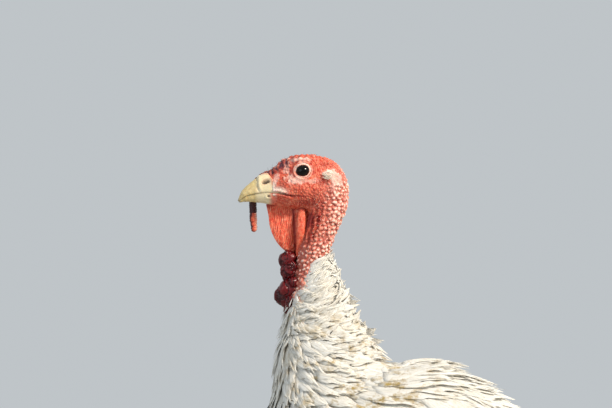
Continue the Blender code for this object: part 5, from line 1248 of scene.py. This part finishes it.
def makeFoot(side, word):
    # Each toe is a tube that bulges at its joints, plated above and padded below, flat where it stands
    look, grids = legLook, legLook["grids"]
    ball, floor = np.array(look["ball"]), -eyePlace[2] / mm

    def standing(rings):
        rings[..., 2] = np.maximum(rings[..., 2], floor)
        return rings * [1, -side, 1]

    rise, turn = np.meshgrid(np.linspace(0.05, np.pi - 0.05, grids["pad"][0]), turns(grids["pad"][1]), indexing="ij")
    pad = np.stack([np.sin(rise) * np.cos(turn), np.sin(rise) * np.sin(turn), np.cos(rise)], -1) * look["pad"] + ball
    dome, away = scaleRelief(pad, 3.0, 0.55, 5.0)
    bodies = [(standing(pad + unit(pad - ball) * dome[..., None]), tints(ease(away, 0.42, 0.7)))]
    step, reach = (np.linspace(0, 1, grids[key][0])[:, None] for key in ("toe", "claw"))
    for toe, (length, heading, plateCount) in look["toes"].items():
        heading = math.radians(heading)
        out, across = np.array([-math.cos(heading), math.sin(heading), 0]), [-math.sin(heading), -math.cos(heading), 0]
        radius = look["toe"] * (1 - 0.30 * step) * (1 + 0.06 * np.cos(step * np.pi * 5))
        radius = radius * np.sqrt(np.clip(1.02 - step**10, 0.05, 1))
        path = ball * [1, 1, 0] + out * (step * length)
        path[:, 2:] = floor + look["toe"] - 1.6 + 5.0 * np.clip(1 - step / 0.25, 0, 1) - 1.6 * step
        cut, part = plates(step * plateCount * 1.6)
        base = tubeRings(path, radius, grids["toe"][1], across)
        above = ease((base[..., 2] - path[:, 2:]) / radius, 0.15, 0.45)
        dome, away = scaleRelief(base, 2.6, 0.5, 7.0)
        relief = ((1 - cut**6) * 0.8 - 0.3 * part) * above + dome * (1 - above)
        groove = np.where(above > 0.5, ease(cut, 0.8, 1.0), ease(away, 0.42, 0.7))
        bodies.append((standing(base + unit(base - path[:, None]) * relief[..., None]), tints(groove, above)))
        path = path[-1] - out * 4 + out * (reach * (look["claw"][0] + 4))
        path[:, 2:] += 1.0 * np.sin(np.pi * reach * 0.7) - 2.0 * reach**2
        size = look["claw"][1] * np.sqrt(np.clip(1 - reach**1.8, 0.003, 1))
        nail = standing(tubeRings(path, size, grids["claw"][1], across, 0.72))
        title, tint = "%s_%s" % (word, toe), tints(0.15 + 0.5 * ease(reach, 0.5, 1.0), 0.3)
        addBodies("nail_" + title, [(nail, tint)], legHorn, "horn", "claw_" + title)
    addBodies("toes_" + word, bodies, legSkin, "leg_scales", "foot_" + word)


for side, word in bothSides:
    makeThigh(side, word)
    makeShank(side, word)
    makeFoot(side, word)
print("legs made")


# Bristles: black hair-like feathers of the beard, and short sparse ones on the bare head
beardLook = {"count": 230, "points": 9, "stations": (11.85, 13.75), "radius": 0.62}
tuftLook = {"count": 70, "points": 5, "x": (18.5, 27.5), "z": (-7.5, -1.0), "out": 17.4, "radius": 0.22}
hairPoints = 4
# Stations, largest angle, distance apart, shortest and longest, how far they stand up, radius, material, seed
hairLook = {
    "forehead_hairs": ((0.0, 3.6), 66, 3.6, (2.0, 4.6), 0.85, 0.11, darkHair, 132),
    "nape_hairs": ((3.6, 8.6), 118, 3.2, (2.6, 5.6), 0.95, 0.14, paleHair, 134),
}


def makeStrands(name, paths, radii, material, slot, roots, columns=4, replaced=()):
    # One thin closed tube along each path (count, rows, 3), with its roots' places on the surface's unwrap, 0 to 1
    count, rows = paths.shape[:2]
    size = rows * columns
    tangents = unit(np.gradient(paths, axis=1))
    side = unit(np.cross(tangents, [0.31, 0.87, 0.17]))
    turn = turns(columns)[:, None]
    ring = np.cos(turn) * side[:, :, None] + np.sin(turn) * np.cross(tangents, side)[:, :, None]
    points = paths[:, :, None] + ring * np.broadcast_to(radii, (count, rows))[:, :, None, None]
    caps = np.array([range(columns)[::-1], range(size - columns, size)])
    jump = (np.arange(count) * size)[:, None, None]
    groups = [(gridFaces(rows, columns, True) + jump).reshape(-1, 4), (caps + jump).reshape(-1, columns)]
    spread = np.meshgrid(np.linspace(-0.5, 0.5, rows), np.linspace(-0.5, 0.5, columns), indexing="ij")
    uv = np.clip(roots[:, None], 0.002, 0.998) + np.stack(spread, -1).reshape(1, -1, 2) * 0.003
    addPiece(name, points, groups, material, slot, replaced, uv)


def makeBeard():
    # Strands that hang from the breast and spread a little towards their ends
    look, draw = beardLook, np.random.default_rng(121)
    count, t = look["count"], np.linspace(0, 1, look["points"])
    length, place = draw.uniform(0.72, 1.0, (count, 1)), draw.uniform(-1, 1, (count, 1))
    s = between(look["stations"], length * t)
    angle = 180 + place * (1.2 + 8.0 * t**1.2) + draw.normal(0, 1.0, (count, 1)) * t
    away = draw.uniform(-1, 2.5, (count, 1)) * (1 - 0.3 * t)
    away = away + 7 * np.sin(t * 1.8) * draw.uniform(0.5, 1.15, (count, 1))
    paths = bodySurface(s, angle, away - 3.5 + 4.5 * ease(t, 0.0, 0.25))
    radii = look["radius"] * (1 - 0.75 * t**2) * draw.uniform(0.8, 1.2, (count, 1))
    roots = unwrap(np.stack([s[:, 0], np.clip(angle[:, 0], -180, 180)], -1))
    makeStrands("beard_bristles", paths, radii, beardBristle, "beard_bristle", roots, replaced=("beard",))


def makeHeadHairs(name, sRange, limit, spacing, lengths, stand, radius, material, seed):
    # Sparse hairs that lean backwards out of the skin between the caruncles
    spots = scatterOn(bodySurface, sRange, (-limit, limit), spacing, tries=6000, seed=seed)
    base = bodySurface(*spots.T, 0.0)
    spots = spots[(np.hypot(base[:, 0], base[:, 2]) > 15) | (np.abs(base[:, 1]) < 6)]
    draw = np.random.default_rng(seed + 1)
    t, long = np.linspace(0, 1, hairPoints), draw.uniform(*lengths, (len(spots), 1))
    turn = spots[:, 1:] + draw.normal(0, 5, (len(spots), 1)) * t
    paths = bodySurface(spots[:, :1] + 0.022 * long * t, turn, -0.4 + stand * long * t * (1 - 0.25 * t))
    makeStrands(name, paths, radius * (1 - 0.75 * t), material, "beard_bristle", unwrap(spots), columns=3)


def makeEarTuft(side, word):
    # Short pale bristles fan backwards over the opening of the ear
    look, draw = tuftLook, np.random.default_rng(141)
    t, shape = np.linspace(0, 1, look["points"]), (look["count"], 1)
    x = draw.uniform(*look["x"], shape) + draw.uniform(3.5, 6.5, shape) * t
    z = draw.uniform(*look["z"], shape) + draw.uniform(-3.2, 0.6, shape) * t
    out = look["out"] + 1.6 * np.sin(t * 2.4) + draw.uniform(-0.4, 0.4, shape)
    roots = np.stack([x[:, 0] / 60, z[:, 0] / 40], -1) + 0.5
    paths, radii = np.stack([x, side * out, z], -1), look["radius"] * (1 - 0.7 * t)
    makeStrands("ear_tuft_" + word, paths, radii, paleHair, "white_feather", roots)


makeBeard()
for name, look in hairLook.items():
    makeHeadHairs(name, *look)
for side, word in bothSides:
    makeEarTuft(side, word)
print("bristles made")

# Floor, light and camera. The camera stands level with the horizon and looks at the middle of the photo
sceneLook = {"distance": 1500.0, "aim": (3.0, -32.6), "horizon": -62.0, "world": 0.8, "frame": 612}


def makeStage():
    mesh = bpy.data.meshes.new("floor")
    mesh.from_pydata([(-4, -4, 0), (4, -4, 0), (4, 4, 0), (-4, 4, 0)], [], [(0, 1, 2, 3)])
    floor = bpy.data.objects.new("floor", mesh)
    bpy.context.scene.collection.objects.link(floor)
    mesh.materials.append(newMaterial("pale floor", {"Base Color": "#a9aba9", "Roughness": 0.9})[0])
    world = bpy.data.worlds.new("studio")
    world.use_nodes = True
    background = world.node_tree.nodes["Background"].inputs
    background["Color"].default_value, background["Strength"].default_value = hexColour("#d3d9dd"), sceneLook["world"]
    bpy.context.scene.world = world


def addLight(name, place, size, energy, colour):
    # A round lamp that looks at the head
    light = bpy.data.lights.new(name, "AREA")
    light.shape, light.size, light.energy, light.color = "DISK", size, energy, hexColour(colour)[:3]
    lamp = bpy.data.objects.new(name, light)
    bpy.context.scene.collection.objects.link(lamp)
    x, y, z = eyePlace + np.array([20, 0, -120]) * mm - place
    lamp.location = place
    lamp.rotation_euler = (math.atan2(math.hypot(x, y), -z), 0, math.atan2(y, x) - math.pi / 2)


def makeCamera():
    look = sceneLook
    camera = bpy.data.cameras.new("camera")
    camera.lens = camera.sensor_width * look["distance"] / look["frame"]
    lens = bpy.data.objects.new("camera", camera)
    bpy.context.scene.collection.objects.link(lens)
    aimX, aimZ = look["aim"]
    lens.location = np.array([aimX, -look["distance"], look["horizon"]]) * mm + eyePlace
    lens.rotation_euler = (math.pi / 2 + math.atan2(aimZ - look["horizon"], look["distance"]), 0, 0)
    bpy.context.scene.camera = lens


bpy.context.scene.view_settings.view_transform = "Standard"
makeStage()
addLight("key", (1.05, -1.1, 2.0), 0.45, 60, "#fff4e4")
addLight("fill", (-1.9, -1.5, 1.2), 1.6, 10, "#dfeaf5")
addLight("back", (1.5, 1.6, 1.8), 1.0, 13, "#fff6e8")
makeCamera()
print("scene ready")
